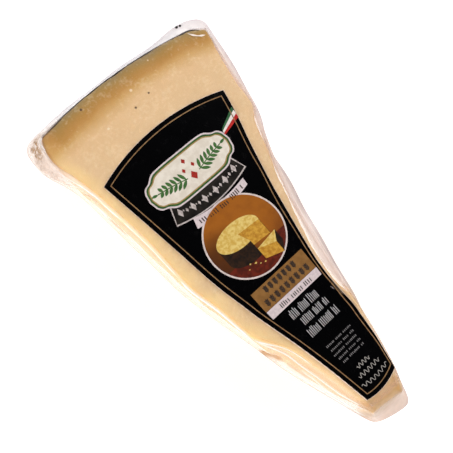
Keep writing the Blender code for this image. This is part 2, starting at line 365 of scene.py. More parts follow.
def finished(name, varying, cover=None, **constants):
    """A Principled material. varying(start) gives what changes over it, and constants set other sockets.

    With cover, the surface is mixed with clear by the amount that cover(start) gives.
    """
    material = bpy.data.materials.new(name)
    material.use_nodes = True
    tree = material.node_tree
    shader = tree.nodes["Principled BSDF"]
    start = Shade(tree)
    for socket, value in constants.items():
        shader.inputs[socket.replace("_", " ")].default_value = value
    for socket, value in varying(start).items():
        tree.links.new(value.socket, shader.inputs[socket])
    if cover:
        clear = start.node("ShaderNodeBsdfTransparent")
        solid = Shade(tree, shader.outputs[0])
        both = start.node("ShaderNodeMixShader", None, {0: cover(start), 1: clear, 2: solid})
        tree.links.new(both.socket, tree.nodes["Material Output"].inputs["Surface"])
    return material


# From the rind inwards: (millimetres below the rind, colour), greyish, then golden, then cream.
PASTE_UNDER_RIND = [(0.3, (136, 116, 78)), (1.5, (147, 120, 64)), (2.8, (162, 123, 48)),
                    (4.5, (174, 125, 42)), (6.2, (187, 134, 53)), (8.0, (204, 158, 88)),
                    (10.0, (219, 178, 122)), (12.5, (230, 192, 143)), (24.0, (230, 196, 151))]
PASTE_REACH = 24.0
# Small holes and pale marks in the top: (x, y, radius). The corner by the ear has dried to a deeper gold.
PASTE_HOLES = [(-18.8, 180.2, 0.62), (-3.5, 169.9, 0.55), (3.4, 171.5, 0.5)]
PASTE_MARKS = [(-1.0, 175.8, 0.7), (-15.5, 169.5, 0.6), (10.5, 181.0, 0.4)]
DEEP_GOLD = (-37.0, 178.5, CHEESE_TOP, 8.5)


def paste(start):
    """Cream paste darker under the rind, clouded and grainy, pale crystals, a few small holes, a painted
    left highlight.
    """
    here = start.place()
    in_plan = here.squeezed(1, 1, 0)
    centre = (float(WEDGE_POINT[0]), float(WHEEL_CENTRE_Y + WEDGE_POINT[1]), 0.0)
    reach = start.node("ShaderNodeVectorMath", {"operation": "DISTANCE"}, {0: in_plan, 1: centre}, "Value")
    depth = WHEEL_RADIUS - reach + (here.noise(14.0, 2.0) - 0.5) * 3.6 + (here.noise(1.8, 2.0) - 0.5) * 1.0
    stops = [(below / PASTE_REACH, srgb(*colour)) for below, colour in PASTE_UNDER_RIND]
    colour = start.node("ShaderNodeValToRGB", {"stops": stops}, {"Fac": depth / PASTE_REACH})
    clouds = here.noise(5.0, 3.0, 0.6) * 0.5 + here.noise(1.1, 2.0, 0.6) * 0.5
    colour = (clouds.between(0.62, 0.40) * 0.16).mix(colour, srgb(206, 160, 108))
    colour = (clouds.between(0.50, 0.66) * 0.22).mix(colour, srgb(247, 222, 184))
    crystals = here.specks(3.4, 0.20) * here.noise(7.0).between(0.52, 0.66)
    colour = (crystals * 0.28).mix(colour, srgb(250, 228, 190))
    holes = here.specks(9.0, 0.16) * here.noise(16.0).between(0.56, 0.64)
    for x, y, radius in PASTE_HOLES:
        holes = holes + here.near(x, y, CHEESE_TOP, radius)
    marks = here.near(*PASTE_MARKS[0][:2], CHEESE_TOP, PASTE_MARKS[0][2])
    for x, y, radius in PASTE_MARKS[1:]:
        marks = marks + here.near(x, y, CHEESE_TOP, radius)
    colour = (marks * 0.6).mix(colour, srgb(250, 232, 200))
    colour = (holes * 0.9).mix(colour, srgb(74, 46, 24))
    colour = (here.near(*DEEP_GOLD) * 0.50).mix(colour, srgb(196, 134, 52))
    # Painted highlight: the paste is lighter and warmer along the lit left edge, where the light falls.
    left_painted_highlight = start.attribute("left_edge")
    colour = (left_painted_highlight * 0.90).mix(colour, srgb(255, 218, 148))
    colour = (start.attribute("tip_edge") * 0.75).mix(colour, srgb(200, 152, 96))
    grain = here.noise(0.55, 3.0, 0.65) * 0.6 + here.noise(2.4, 2.0) * 0.6 - holes * 1.2
    return {"Base Color": colour, "Roughness": 0.42 + clouds * 0.25, "Normal": start.relief(grain, 0.16)}


def edge_kept_in(edge, gap, sign):
    """An edge's table moved inwards by a gap that changes along it. sign is 1 for left and -1 for right."""
    gap_at = curve_through(gap)
    return [(far, offset + sign * float(gap_at(far))) for far, offset in edge]


def worn_corner(x):
    """How far the rind's right corner steps back from the arc at offset x."""
    return -CORNER_DROP * np.clip(x - CORNER_START, 0, None) ** 2


def cheese_top():
    """The outline of the cheese just under its rounded top edge."""
    return plan_outline(edge_kept_in(TOP_LEFT, GAP_LEFT, 1), CHEESE_RIGHT,
                        lambda x: worn_corner(x + 1.5) - GAP_RIND, GAP_TIP)


def cheese_rings():
    """The cheese's rings: rounded over at the top's edge, down the walls, and rounded under at the base."""
    top = cheese_top()
    base = plan_outline(edge_kept_in(BASE_LEFT, GAP_LEFT, 1), edge_kept_in(BASE_RIGHT, GAP_RIGHT, -1),
                        lambda x: worn_corner(x + 1.5) - GAP_RIND, GAP_TIP)
    out_top, out_base = outward(top), outward(base)
    radius = round_the_sides(CHEESE_EDGE, EDGE_EASE)
    rings = []
    for turn in np.linspace(0, math.pi / 2, 8):
        plan = top - out_top * (radius * (1 - math.sin(turn)))[:, None]
        rings.append(at_height(plan, CHEESE_TOP - radius * (1 - math.cos(turn))))
    low = CHEESE_BASE + CHEESE_BASE_EDGE
    for share in np.linspace(0, 1, 32)[1:-1]:
        height = (CHEESE_TOP - radius) * (1 - share) + low * share
        rings.append(at_height(top + (base - top) * share, height))
    for turn in np.linspace(math.pi / 2, 0, 5):
        plan = base - out_base * CHEESE_BASE_EDGE * (1 - math.sin(turn))
        rings.append(at_height(plan, low - CHEESE_BASE_EDGE * math.cos(turn)))
    return rings


def cheese_tones(place):
    """How much painted highlight each point takes by the lit left edge, and how brown it is at the tip."""
    across, far, level = place.T
    inward = across - curve_through(TOP_LEFT)(far) + 0.5 * lumps(place, 8.0, 5)
    left_painted_highlight = np.clip(1 - inward / 7.0, 0, 1) * np.clip((180 - far) / 14, 0, 1)
    left_painted_highlight = left_painted_highlight * np.clip((far - 50) / 28, 0.3, 1) * np.clip((level - 20) / 10, 0, 1)
    return left_painted_highlight, np.clip((42.5 - far + 0.4 * lumps(place, 3.0, 6)) / 3.5, 0, 1)


cheese_finish = finished("cheese_paste", paste, Specular_IOR_Level=0.35, Subsurface_Weight=0.12,
                         Subsurface_Radius=(1.0, 0.55, 0.28), Subsurface_Scale=0.0016)
cheese = made("cheese", *skin(cheese_rings()), cheese_finish, "cheese")
roughen(cheese, lambda p: 0.10 * lumps(p, 9.0, 3) + 0.05 * lumps(p, 2.6, 4))
# The painted highlight by the left edge, and the brown at the tip, are kept on the points.
left_edge, tip_edge = cheese_tones(points_of(cheese) * 1000 - WEDGE_POINT)
store(cheese, "left_edge", left_edge)
store(cheese, "tip_edge", tip_edge)
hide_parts("vacuum_pack")

# ---------------------------------------------------------------- the rind
# The wheel's black coated rind, a thin hard crust on the arc at the wide end. Only its sawn edge shows
# from above, as a dark line of uneven width. It is a profile carried along the arc and closed at its ends.
# How far the crust's lip comes in over the paste, how high it stands, and the offsets of its two ends.
RIND_LIP = 0.02
RIND_CAP = 31.62
RIND_ENDS = (-35.0, 32.6)


def closed_tube(rows):
    """The points and faces of a tube with closed ends, from a row of points per corner of its profile."""
    points = np.concatenate(rows)
    ids = np.arange(len(points)).reshape(len(rows), -1)
    ids = np.concatenate([ids, ids[:1]])
    faces = grid_faces(ids).tolist()
    for column in (0, -1):
        ring = ids[:, column]
        middle = points[ring[:-1]].mean(axis=0)
        faces += [(first, second, len(points)) for first, second in zip(ring[:-1], ring[1:])]
        points = np.concatenate([points, middle[None]])
    return points, faces


def rind_strip():
    """The crust as a closed profile carried along the arc: out and up the outside, back down the inside."""
    x = np.linspace(*RIND_ENDS, 320)
    arc = WHEEL_CENTRE_Y + np.sqrt(WHEEL_RADIUS**2 - x**2) + worn_corner(x + 1.5)
    out = np.stack([x, arc - WHEEL_CENTRE_Y], axis=1)
    out /= np.linalg.norm(out, axis=1)[:, None]
    spots = np.stack([x, arc, np.zeros_like(x)], axis=1)
    patches = np.clip(lumps(spots, 7.0, 11) + 0.5 * lumps(spots, 2.2, 12), -0.6, 2.0)
    lip = RIND_LIP + 0.20 * patches + 0.003 * np.clip(x + 5, 0, None)
    height = RIND_CAP + 0.06 * lumps(spots, 3.0, 13)
    # (height as a share of the cap, how far outside the cheese, how much of the uneven lip it takes)
    profile = [(0.012, 0.10, 0.0), (0.02, 0.24, 0.0),
               *((share, 0.34, 0.0) for share in np.linspace(0.08, 0.92, 36)),
               (0.975, 0.30, 0.0), (0.992, 0.24, 0.0), (1.0, 0.15, 0.0), (1.0, 0.06, 0.5),
               (0.999, 0.0, 1.0), (0.97, -0.05, 0.6), (0.5, -0.05, 0.0), (0.03, -0.05, 0.0)]
    rows = []
    for share, beyond, lips in profile:
        away = beyond - GAP_RIND + 0.05 - lip * lips
        away = away + 0.03 * lumps(spots + [0, 0, 40 * share], 1.6, 14) * (share < 0.99)
        rows.append(np.column_stack([spots[:, :2] + out * away[:, None], height * share]))
    return closed_tube(rows)


def crust(start):
    """Near-black coating over brown rind, scuffed in places, with a fine leathery grain."""
    here = start.place()
    scuffs = here.noise(6.0, 4.0, 0.6).between(0.52, 0.72)
    colour = (scuffs * 0.5).mix(srgb(26, 20, 15), srgb(58, 42, 27))
    colour = here.noise(0.7, 2.0).between(0.55, 0.75).mix(colour, srgb(16, 13, 11))
    grain = here.noise(0.9, 4.0, 0.6) + here.noise(4.0, 2.0)
    return {"Base Color": colour, "Roughness": 0.5 + scuffs * 0.25, "Normal": start.relief(grain, 0.25)}


rind_finish = finished("black_rind", crust, Specular_IOR_Level=0.4)
rind = made("rind", *rind_strip(), rind_finish, "rind")
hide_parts("vacuum_pack")

# ---------------------------------------------------------------- the film
# A clear vacuum pouch of two sheets, shrunk onto the cheese and sealed to each other in a wavy fin all the
# way round. It is nearly invisible on the flat faces and milky where it is folded, creased or doubled. The
# upper sheet carries the folds: ridges drawn along the flank, with painted highlights and painted shade on
# them, streaks, and the crumpled ear at the rind.
FIN_LEFT = [(27.9, -4.9), (35, -7.9), (43, -10.7), (53, -14.5), (65, -18.5), (76, -21.3), (88, -24.7),
            (101, -28.2), (111, -30.3), (123, -31.6), (137, -33.6), (146, -34.7), (157, -36.1),
            (166, -38.3), (175, -42.1), (184.7, -42.2)]
FIN_RIGHT = [(25.8, 9.4), (32, 11.1), (40, 12.8), (50, 14.5), (60, 16.6), (70, 18.8), (79, 20.0),
             (90, 21.8), (105, 24.9), (114, 26.8), (121, 27.6), (128.5, 28.2), (134, 29.7),
             (142, 33.5), (151, 36.2), (162, 38.7), (174, 40.0), (186.5, 41.4)]
# How far the fin stands out past the rind's arc: (offset from the middle, distance).
FIN_PAST_RIND = [(-42, 6.5), (-30, 5.8), (-18, 5.0), (-5, 5.3), (18, 5.9), (27, 7.2), (33, 7.8),
                 (42, 6.6)]
FIN_HEIGHT = {"left": 15.0, "rind": 17.0, "right": 21.0, "tip": 23.0}
# Waves in the fin's height: (size, length along the fin, phase).
FIN_WAVES = [(0.9, 56.0, 0.0), (0.55, 26.0, 1.3)]
FIN_LIP = 0.35
FIN_CORNERS = 1.6
FIN_HALF_GAP = 0.15

# The film's rounded edge round the flat top, and the share of a right angle that it turns through.
FILM_TOP = 31.96
FILM_EDGE = {"left": 1.6, "rind": 0.7, "right": 1.5, "tip": 3.4}
EDGE_TURN = {"left": 1.0, "rind": 1.0, "right": 1.0, "tip": 0.5}
EDGE_RINGS = 25
FLANK_RINGS = 62
# How the upper sheet falls to the fin: 1 goes straight there, and more stays on the cheese for longer.
FALL = {"left": 1.1, "rind": 2.2, "right": 2.0, "tip": 1.0}
EAR_FALL = 0.75
FILM_FOOT = 0.02
FOOT_EDGE = 1.6
RISE_FROM_BASE = 1.8
EAR = (-39.0, 178.0)
EAR_REACH = 11.0

# Rows down the flank run from 0 at the end of the rounded edge to 1 at the fin. The edge itself takes the
# rows just below 0, and the fin's lip lies just past 1.
EDGE_SPAN = 0.07
LIP_ROW = 1.02

# Folds drawn in the upper sheet: (side, points of its path, width, height in millimetres, milkiness, painted
# shade).
# A path's point is (distance from the wedge's point, row), and widths are given in rows too.
# Milkiness also whitens the film's tint as painted highlight, which makes the thin bright lines on the
# ridges. Painted shade is an orange tint in the dents of folds.
FOLDS = [
    ("left", [(174, 0.08), (170, 0.02), (164, -0.02), (160, -0.035), (152, -0.045)], 0.008, 0.20, 0.85, 0.0),
    ("left", [(172, 0.24), (167, 0.26), (162, 0.10), (156, 0.02)], 0.045, 0.25, 0.55, 0.0),
    ("left", [(154, -0.03), (148.5, -0.03), (143, -0.035)], 0.008, 0.16, 0.8, 0.0),
    ("left", [(144, -0.03), (134, -0.03), (124, -0.035), (115, -0.045)], 0.008, 0.16, 0.6, 0.0),
    ("left", [(142, 0.60), (132, 0.60), (124, 0.42), (116, 0.16), (108, 0.10)], 0.09, 0.35, 0.45, 0.0),
    ("left", [(136, 0.92), (126, 0.88), (116, 0.66), (106, 0.55), (98, 0.50)], 0.07, 0.30, 0.35, 0.0),
    ("left", [(158, 0.50), (152, 0.52), (146, 0.70)], 0.20, 0.50, 0.55, 0.0),
    # Painted shade in these two dents.
    ("left", [(162, 0.56), (158, 0.20), (153, 0.08)], 0.09, -0.30, 0.10, 0.85),
    ("left", [(149, 0.64), (144, 0.68), (137, 0.56)], 0.08, -0.30, 0.10, 0.85),
    ("left", [(113, -0.04), (105, -0.04), (94, -0.04), (84, -0.035), (78, -0.01)], 0.009, 0.22, 1.0, 0.0),
    ("left", [(108, 0.45), (100, 0.42), (92, 0.48), (84, 0.70)], 0.06, 0.25, 0.35, 0.0),
    ("left", [(80, -0.01), (75.5, -0.035), (70, -0.05), (64, -0.04), (57, -0.03)], 0.008, 0.18, 0.8, 0.0),
    ("left", [(79, 0.02), (73.7, 0.03), (68, 0.14), (61, 0.30), (53, 0.36), (44, 0.42), (36, 0.26),
              (32, 0.0)], 0.05, 0.45, 0.85, 0.0),
    ("left", [(60, 0.52), (54, 0.55), (46, 0.70), (40, 0.76), (31, 0.82)], 0.05, 0.40, 0.65, 0.0),
    # Painted shade along these three folds.
    ("left", [(76.5, 0.99), (74.3, 0.94), (71.3, 0.84), (68.9, 0.70), (65, 0.66)], 0.19, -0.40, 0.10, 1.4),
    ("left", [(66, 0.67), (60.5, 0.69), (53, 0.70)], 0.11, -0.20, 0.16, 0.6),
    ("left", [(78, 0.80), (73.7, 0.30), (69, 0.18)], 0.06, 0.30, 0.20, 0.4),
    ("left", [(66, 0.90), (57.5, 0.90), (50, 0.92), (43, 0.95), (36, 0.93)], 0.06, 0.35, 0.55, 0.0),
    # These two have no height: they are only painted highlight along the left ridge.
    ("left", [(170, -0.05), (140, -0.05), (100, -0.05), (80, -0.03)], 0.028, 0.0, 0.42, 0.0),
    ("left", [(78, 0.02), (64, 0.0), (50, 0.0), (36, 0.0)], 0.06, 0.0, 0.12, 0.0),
    ("right", [(184, -0.03), (177, 0.0), (170, 0.05), (165, 0.05)], 0.03, 0.20, 0.50, 0.0),
    ("right", [(164, 0.10), (160, 0.35), (156, 0.55), (151, 0.85)], 0.06, 0.25, 0.50, 0.0),
    ("right", [(149, 0.10), (144, 0.42), (139, 0.40), (132, 0.20)], 0.05, 0.22, 0.45, 0.0),
    ("right", [(121, -0.03), (111, -0.02), (103, 0.12), (94, 0.30), (82, 0.38), (70, 0.44)],
     0.03, 0.14, 0.30, 0.0),
    ("right", [(127, 0.30), (117, 0.72), (104, 0.80), (92, 0.84), (80, 0.90), (73, 0.80)],
     0.04, 0.16, 0.30, 0.0),
]

# Milkiness, from 0 for clear to 1 for solid: of the upper sheet's flank, of its last part before the fin, of
# the lower sheet, of film that lies flat on or under the cheese, and of film past the cheese on the right.
UPPER_MILK = {"left": 0.17, "rind": 0.36, "right": 0.70, "tip": 0.74}
RIM_MILK = {"left": 0.0, "rind": 0.7, "right": 1.0, "tip": 0.2}
LOWER_MILK = {"left": 0.26, "rind": 0.24, "right": 0.46, "tip": 0.66}
CLEAR_ABOVE = 0.04
CLEAR_BELOW = 0.05
PAST_RIGHT_MILK = 0.62
LEAST_MILK = 0.02
MOST_MILK = 0.96
# Milkiness and colour pass from one side to the next within about this many stations.
EASE = 24.0

# Film colours: over the lit left flank, painted lighter there, on the right and low on it, where the cheese
# ends at the tip, just past that end and further out, in the ear, painted highlight on folds, past the rind,
# at the fin, and painted shade in the dents of folds.
CREAM = srgb(248, 220, 190)
PINK = srgb(222, 197, 187)
BUFF = srgb(226, 192, 152)
GOLD = srgb(216, 170, 108)
TAN = srgb(180, 134, 78)
PEACH = srgb(230, 196, 174)
EAR_TINT = srgb(219, 193, 174)
WHITE = srgb(255, 252, 250)
LILAC = srgb(228, 220, 224)
RIM = srgb(202, 186, 192)
SHADE_ORANGE = srgb(186, 122, 4)


def blended(first, second, share):
    """Values that run from the first to the second as share goes from 0 to 1."""
    return np.asarray(first) * (1 - share[..., None]) + np.asarray(second) * share[..., None]


def rising(values, low, high):
    """0 below low, 1 above high, and a smooth step between."""
    share = np.clip((values - low) / (high - low), 0, 1)
    return share * share * (3 - 2 * share)


def corners_eased(loop, reach):
    """The outline averaged over this many millimetres of its length, which rounds its corners."""
    samples = 4000
    closed = np.concatenate([loop, loop[:1]])
    travel = np.append(0, np.cumsum(np.linalg.norm(np.diff(closed, axis=0), axis=1)))
    even = np.linspace(0, travel[-1], samples + 1)
    fine = np.stack([np.interp(even, travel, column) for column in closed.T], axis=1)[:-1]
    fine = smooth_round(fine, reach * samples / travel[-1])
    fine = np.concatenate([fine, fine[:1]])
    return np.stack([np.interp(travel[:-1], even, column) for column in fine.T], axis=1)


def film_outline(left, right):
    """An outline of the film: tight round the corners by the rind, rounder towards the tip."""
    tight = plan_outline(left, right, worn_corner, smoothing=3.0)
    loose = plan_outline(left, right, worn_corner, smoothing=9.0)
    return blended(loose, tight, rising(tight[:, 1], 42, 90))


def film_parts():
    """The film's outlines in plan, how much of each station is in the ear, and how high the fin stands."""
    top = film_outline(TOP_LEFT, TOP_RIGHT)
    fin = corners_eased(plan_outline(FIN_LEFT, FIN_RIGHT, curve_through(FIN_PAST_RIND)), FIN_CORNERS)
    base = film_outline(BASE_LEFT, BASE_RIGHT)
    travel = np.cumsum(np.linalg.norm(fin - np.roll(fin, 1, axis=0), axis=1))
    ear = np.exp(-((fin[:, 0] - EAR[0]) ** 2 + (fin[:, 1] - EAR[1]) ** 2) / EAR_REACH**2)
    wave = sum(size * np.sin(2 * math.pi * travel / length + phase) for size, length, phase in FIN_WAVES)
    return top, fin, base, ear, round_the_sides(FIN_HEIGHT) + wave


def folds_at(far, rows):
    """The folds' height, milkiness and painted shade for every row down the flank and every station round
    it.
    """
    index = np.arange(len(far))
    on_side = {"left": index < ALONG, "right": (index >= ALONG + ACROSS) & (index < 2 * ALONG + ACROSS)}
    fields = np.zeros((3, len(rows), len(far)))
    for side, path, width, height, milk_and_highlight, fold_shade in FOLDS:
        path = sorted(path)
        crest = curve_through(path)(far)
        ends = np.clip((far - path[0][0]) / 3, 0, 1) * np.clip((path[-1][0] - far) / 3, 0, 1)
        ridge = on_side[side] * ends * np.exp(-(np.abs(rows[:, None] - crest) / width) ** 1.6)
        fields += ridge * np.array([height, milk_and_highlight, fold_shade])[:, None, None]
    return fields


def soft_streaks(rows, stations):
    """Smooth random streaks, about 1 either way, drawn out along the flank."""
    chance = np.random.default_rng(21)
    streaks = smooth_round(chance.normal(size=(stations, rows)), 26.0)
    kernel = np.exp(-0.5 * (np.arange(-18, 19) / 6.0) ** 2)
    streaks = np.stack([np.convolve(row, kernel / kernel.sum(), "same") for row in streaks]).T
    return streaks / streaks.std()


def side_tint(ear):
    """The film's colour at each station round the pack, and how far it is on the left and past the rind."""
    on_left = round_the_sides({"left": 1.0, "rind": 0.0, "right": 0.0, "tip": 0.25}, EASE) * (1 - ear)
    past_rind = round_the_sides({"left": 0.0, "rind": 1.0, "right": 0.1, "tip": 0.0}, EASE)
    # Painted light: the film is creamier and lighter on the lit left side, where the cheese also shows
    # through.
    tint = blended(blended(PINK, CREAM, on_left), LILAC, past_rind * (1 - ear))
    return blended(tint, EAR_TINT, ear), on_left, past_rind


def at_the_tip(plan):
    """The veil past the cheese's tip: how milky it is, most where the cheese ends, and its colour there."""
    far = plan[:, 1] + 0.25 * lumps(at_height(plan, 0), 4.0, 34)
    veil = 0.92 * (1 - rising(far, 36.0, 41.0)) - 0.10 * (1 - rising(far, 27.0, 30.0))
    past_left_edge = curve_through(TOP_LEFT)(plan[:, 1]) - plan[:, 0]
    veil = veil * (1 - 0.7 * rising(past_left_edge, 0.3, 2.2))
    return veil, blended(blended(PEACH, TAN, rising(far, 28.8, 35.2)), GOLD, rising(far, 34.2, 37.4))


def past_the_cheese(plan):
    """The veil where film runs on past the cheese, the tip's part of it, and the tip's colour."""
    past_right_edge = rising(plan[:, 0] - curve_through(CHEESE_RIGHT)(plan[:, 1]), -0.3, 0.9)
    tip_veil, tip_tint = at_the_tip(plan)
    veil = np.maximum(PAST_RIGHT_MILK * past_right_edge * rising(plan[:, 1], 74, 78), tip_veil)
    return veil, tip_veil, tip_tint


def bare_by_the_ear(flat):
    """1 where the film's flat top runs on past the cheese's corner by the ear, and 0 over the cheese."""
    near_ear = (flat[:, 1] > 160) & (flat[:, 0] < -22)
    edge = cheese_top()
    away = flat[near_ear, None, :2] - edge
    nearest = np.argmin((away**2).sum(axis=2), axis=1)
    past = (away[np.arange(len(away)), nearest] * outward(edge)[nearest]).sum(axis=1)
    bare = np.zeros(len(flat))
    bare[near_ear] = rising(past, -0.4, 0.2)
    return bare


def upper_film():
    """The upper sheet: flat on the cheese, over its edge, down the flank and out to the fin's lip.

    Gives its points and faces, and its milkiness, its colour and its share of the ear at each point.
    """
    top, fin, _, ear, height = film_parts()
    out_top, out_fin = outward(top), outward(fin)
    radius = round_the_sides(FILM_EDGE, EDGE_EASE)
    last_turn = math.pi / 2 * round_the_sides(EDGE_TURN, EDGE_EASE)
    fall = round_the_sides(FALL) * (1 - ear) + EAR_FALL * ear
    edge_foot = top - out_top * (radius * (1 - np.sin(last_turn)))[:, None]
    foot_level = FILM_TOP - radius * (1 - np.cos(last_turn))
    side_milk = round_the_sides(UPPER_MILK, EASE)
    rim_milk = round_the_sides(RIM_MILK, EASE) * (1 - ear)
    base_tint, on_left, past_rind = side_tint(ear)

    rows = np.concatenate([np.linspace(-EDGE_SPAN, 0, EDGE_RINGS), np.linspace(0, 1, FLANK_RINGS)[1:],
                           [LIP_ROW]])
    relief, milk, fold_shade = folds_at(fin[:, 1], rows)
    streaks = soft_streaks(len(rows), len(fin)) * ((rows > 0) * np.clip(1 - rows, 0, 1) ** 0.4)[:, None]
    relief = (relief + 0.15 * streaks) * np.clip((LIP_ROW - rows) / 0.14, 0, 1)[:, None]
    milk += 0.06 * streaks
    # Off the left flank the relief only stands out, so that nothing inside shows through the film.
    relief[:, ALONG:] = np.maximum(relief[:, ALONG:], 0.05)

    rings, hazes, tints, ears = [], [], [], []
    creases = 0 * ear
    for down, raised, milk_and_highlight, painted_shade in zip(rows, relief, milk, fold_shade):
        crumple = ear * (rising(down, 0.0, 0.12) * (1 - rising(down, 0.45, 1.0)))
        if down <= 0:
            turn = (down / EDGE_SPAN + 1) * last_turn
            plan = top - out_top * (radius * (1 - np.sin(turn)) - raised * np.sin(turn))[:, None]
            level = FILM_TOP - radius * (1 - np.cos(turn)) + raised * np.cos(turn)
        elif down <= 1:
            plan = edge_foot + (fin - edge_foot) * (down**fall)[:, None]
            level = foot_level + (height + FIN_HALF_GAP - foot_level) * (1 - (1 - down) ** fall)
            spot = at_height(plan, level)
            creases = 0.8 * np.abs(lumps(spot, 3.4, 31)) + 0.4 * np.abs(lumps(spot, 1.5, 32))
            plan = plan + out_fin * (raised + crumple * np.maximum(creases - 0.4, 0))[:, None]
            level = level + 0.25 * crumple * lumps(spot, 2.0, 33)
        else:
            plan, level = fin + out_fin * FIN_LIP, height
        rings.append(at_height(plan, level))

        # Milky as its side is, less where it clings to the rind, more on folds, at the fin and in the ear.
        shown = np.clip(down / EDGE_SPAN + 1, 0, 1)
        cling = 1 - 0.8 * past_rind * (1 - rising(down, 0.2, 0.6))
        rim = rim_milk * rising(down, 0.90, 1.0)
        haze = CLEAR_ABOVE + (side_milk * cling - CLEAR_ABOVE) * shown**2 + milk_and_highlight + 0.20 * rim
        haze = haze + ear * (0.30 + 0.40 * (1 - rising(down, 0.04, 0.2))) * rising(down, -EDGE_SPAN, -0.055)
        haze = haze + crumple * (0.1 + 0.3 * np.clip(creases, 0, 1))
        veil, tip_veil, tip_tint = past_the_cheese(plan)
        # The film also shows more where painted shade lies in the dents.
        hazes.append(np.maximum(haze + 0.60 * painted_shade, veil))

        tint = blended(base_tint, BUFF, (1 - on_left) * (1 - ear) * (1 - rising(plan[:, 1], 70, 77)))
        tint = blended(tint, tip_tint, np.clip(tip_veil * 1.3, 0, 1))
        # Whiter towards the fin, and painted lighter still on the lit left side; folds are whitened as
        # painted highlight.
        pale = rising(down, 0.55, 1.0) * (0.10 + 0.50 * on_left) * (1 - 0.95 * tip_veil)
        tint = blended(tint, WHITE, np.clip(pale + milk_and_highlight * (0.4 + 0.6 * on_left), 0, 1))
        tint = blended(tint, RIM, 0.6 * rim)
        # Painted shade: orange in the dents of folds.
        tints.append(blended(tint, SHADE_ORANGE, np.clip(painted_shade, 0, 1)))
        ears.append(ear * rising(down, -EDGE_SPAN, -0.05))

    points, faces = skin(rings, close_base=False)
    flat = filled(rings[0]).reshape(-1, 3)
    veil, tip_veil, tip_tint = past_the_cheese(flat[:, :2])
    bare = bare_by_the_ear(flat) * (1 - tip_veil)
    flat_haze = np.maximum(veil, CLEAR_ABOVE + 0.60 * bare)
    flat_tint = blended(blended(PINK, tip_tint, np.clip(tip_veil * 1.3, 0, 1)), EAR_TINT, bare)
    return (points, faces, np.concatenate([flat_haze] + hazes[1:]),
            np.concatenate([flat_tint] + tints[1:]), np.concatenate([bare] + ears[1:]))


def lower_film():
    """The lower sheet: flat beneath the cheese, out under the flank, and up to the fin's lip."""
    _, fin, base, ear, height = film_parts()
    out_fin, out_base = outward(fin), outward(base)
    milk = round_the_sides(LOWER_MILK, EASE) + 0.2 * ear
    rings, hazes = [], []
    for turn in np.linspace(0, math.pi / 2, 6):
        plan = base - out_base * FOOT_EDGE * (1 - math.sin(turn))
        rings.append(at_height(plan, FILM_FOOT + FOOT_EDGE * (1 - math.cos(turn))))
        hazes.append(np.full(len(fin), CLEAR_BELOW))
    spots = at_height(fin, height)
    steps = np.linspace(0, 1, 42)[1:]
    for step, streak in zip(steps, soft_streaks(len(steps), len(fin))):
        plan = base + (fin - base) * step**RISE_FROM_BASE
        level = FOOT_EDGE + (height - FIN_HALF_GAP - FOOT_EDGE) * (1 - (1 - step) ** RISE_FROM_BASE)
        soft = 0.16 + 0.14 * lumps(spots + [0, 0, 9 * step], 6.0, 41)
        soft = soft + 0.26 * streak * rising(step, 0.1, 0.6)
        swell = np.maximum(soft, 0.05) * math.sin(math.pi * step)
        rings.append(at_height(plan + out_fin * swell[:, None], level))
        hazes.append(CLEAR_BELOW + milk * rising(step, 0.25, 1.0) * np.clip(1 + 0.25 * streak, 0.3, 1.5))
    rings.append(at_height(fin + out_fin * FIN_LIP, height))
    hazes.append(hazes[-1])
    points, faces = skin(rings, close_base=False)
    flat = (ALONG + 1) * (ACROSS + 1)
    at_tip = round_the_sides({"left": 0.0, "rind": 0.0, "right": 0.0, "tip": 1.0}, EASE)
    tint = blended(side_tint(ear)[0], PEACH, at_tip)
    return (points, faces, np.concatenate([np.full(flat, CLEAR_BELOW)] + hazes[1:]),
            np.concatenate([np.tile(WHITE, (flat, 1)), np.tile(tint, (len(rings) - 1, 1))]),
            np.zeros(len(points)))


# Two dark crumbs of rind caught between the sheets past the rind, and a brown stain in the ear:
# (x, y, height, radius).
FLECKS = [(30.6, 188.84, 20.03, 0.85), (31.96, 188.44, 20.16, 0.7)]
STAIN = (-38.6, 179.2, 28.0, 5.5)


def crackle(here):
    """The net of fine creases in the crumpled film."""
    return here.squeezed(1, 0.7, 1.5).cells(3.0)


def film_surface(start):
    """Clear film in its own tint, softly clouded, with two flecks, and a stain and crackles in the ear."""
    here = start.place()
    drift = here.noise(7.0, 3.0)
    tint = start.node("ShaderNodeAttribute", {"attribute_name": "tint"}, output="Color")
    colour = (drift.between(0.30, 0.70) * 0.10).mix(tint, srgb(255, 252, 250))
    ear = start.attribute("ear")
    mottle = here.noise(1.1, 4.0, 0.65)
    colour = (ear * mottle.between(0.48, 0.60) * 0.45).mix(colour, srgb(196, 172, 158))
    colour = (here.near(*STAIN) * mottle.between(0.40, 0.54)).mix(colour, srgb(158, 116, 68))
    for fleck in FLECKS:
        colour = here.near(*fleck).mix(colour, srgb(40, 34, 34))
    wrinkles = (here.noise(1.2, 3.0, 0.6) + crackle(here) * 0.6) * ear
    wrinkles = wrinkles + here.noise(5.0, 1.0) * 0.5
    return {"Base Color": colour, "Roughness": 0.14 + drift * 0.12, "Normal": start.relief(wrinkles, 0.12)}


def film_cover(start):
    """How much of the film shows: its own haze in cloudy streaks, with bright cracks in the ear."""
    here = start.place()
    shown = start.attribute("haze") * (0.85 + here.noise(2.6, 3.0, 0.6) * 0.3)
    cracks = crackle(here) * here.noise(1.5, 3.0).between(0.40, 0.62)
    shown = shown + start.attribute("ear") * (cracks * 0.30 + here.noise(1.1, 4.0, 0.65) * 0.36)
    shown = shown + sum(here.near(*fleck) for fleck in FLECKS)
    return start.math("MINIMUM", shown, MOST_MILK)


film_finish = finished("clear_film", film_surface, film_cover, IOR=1.65)


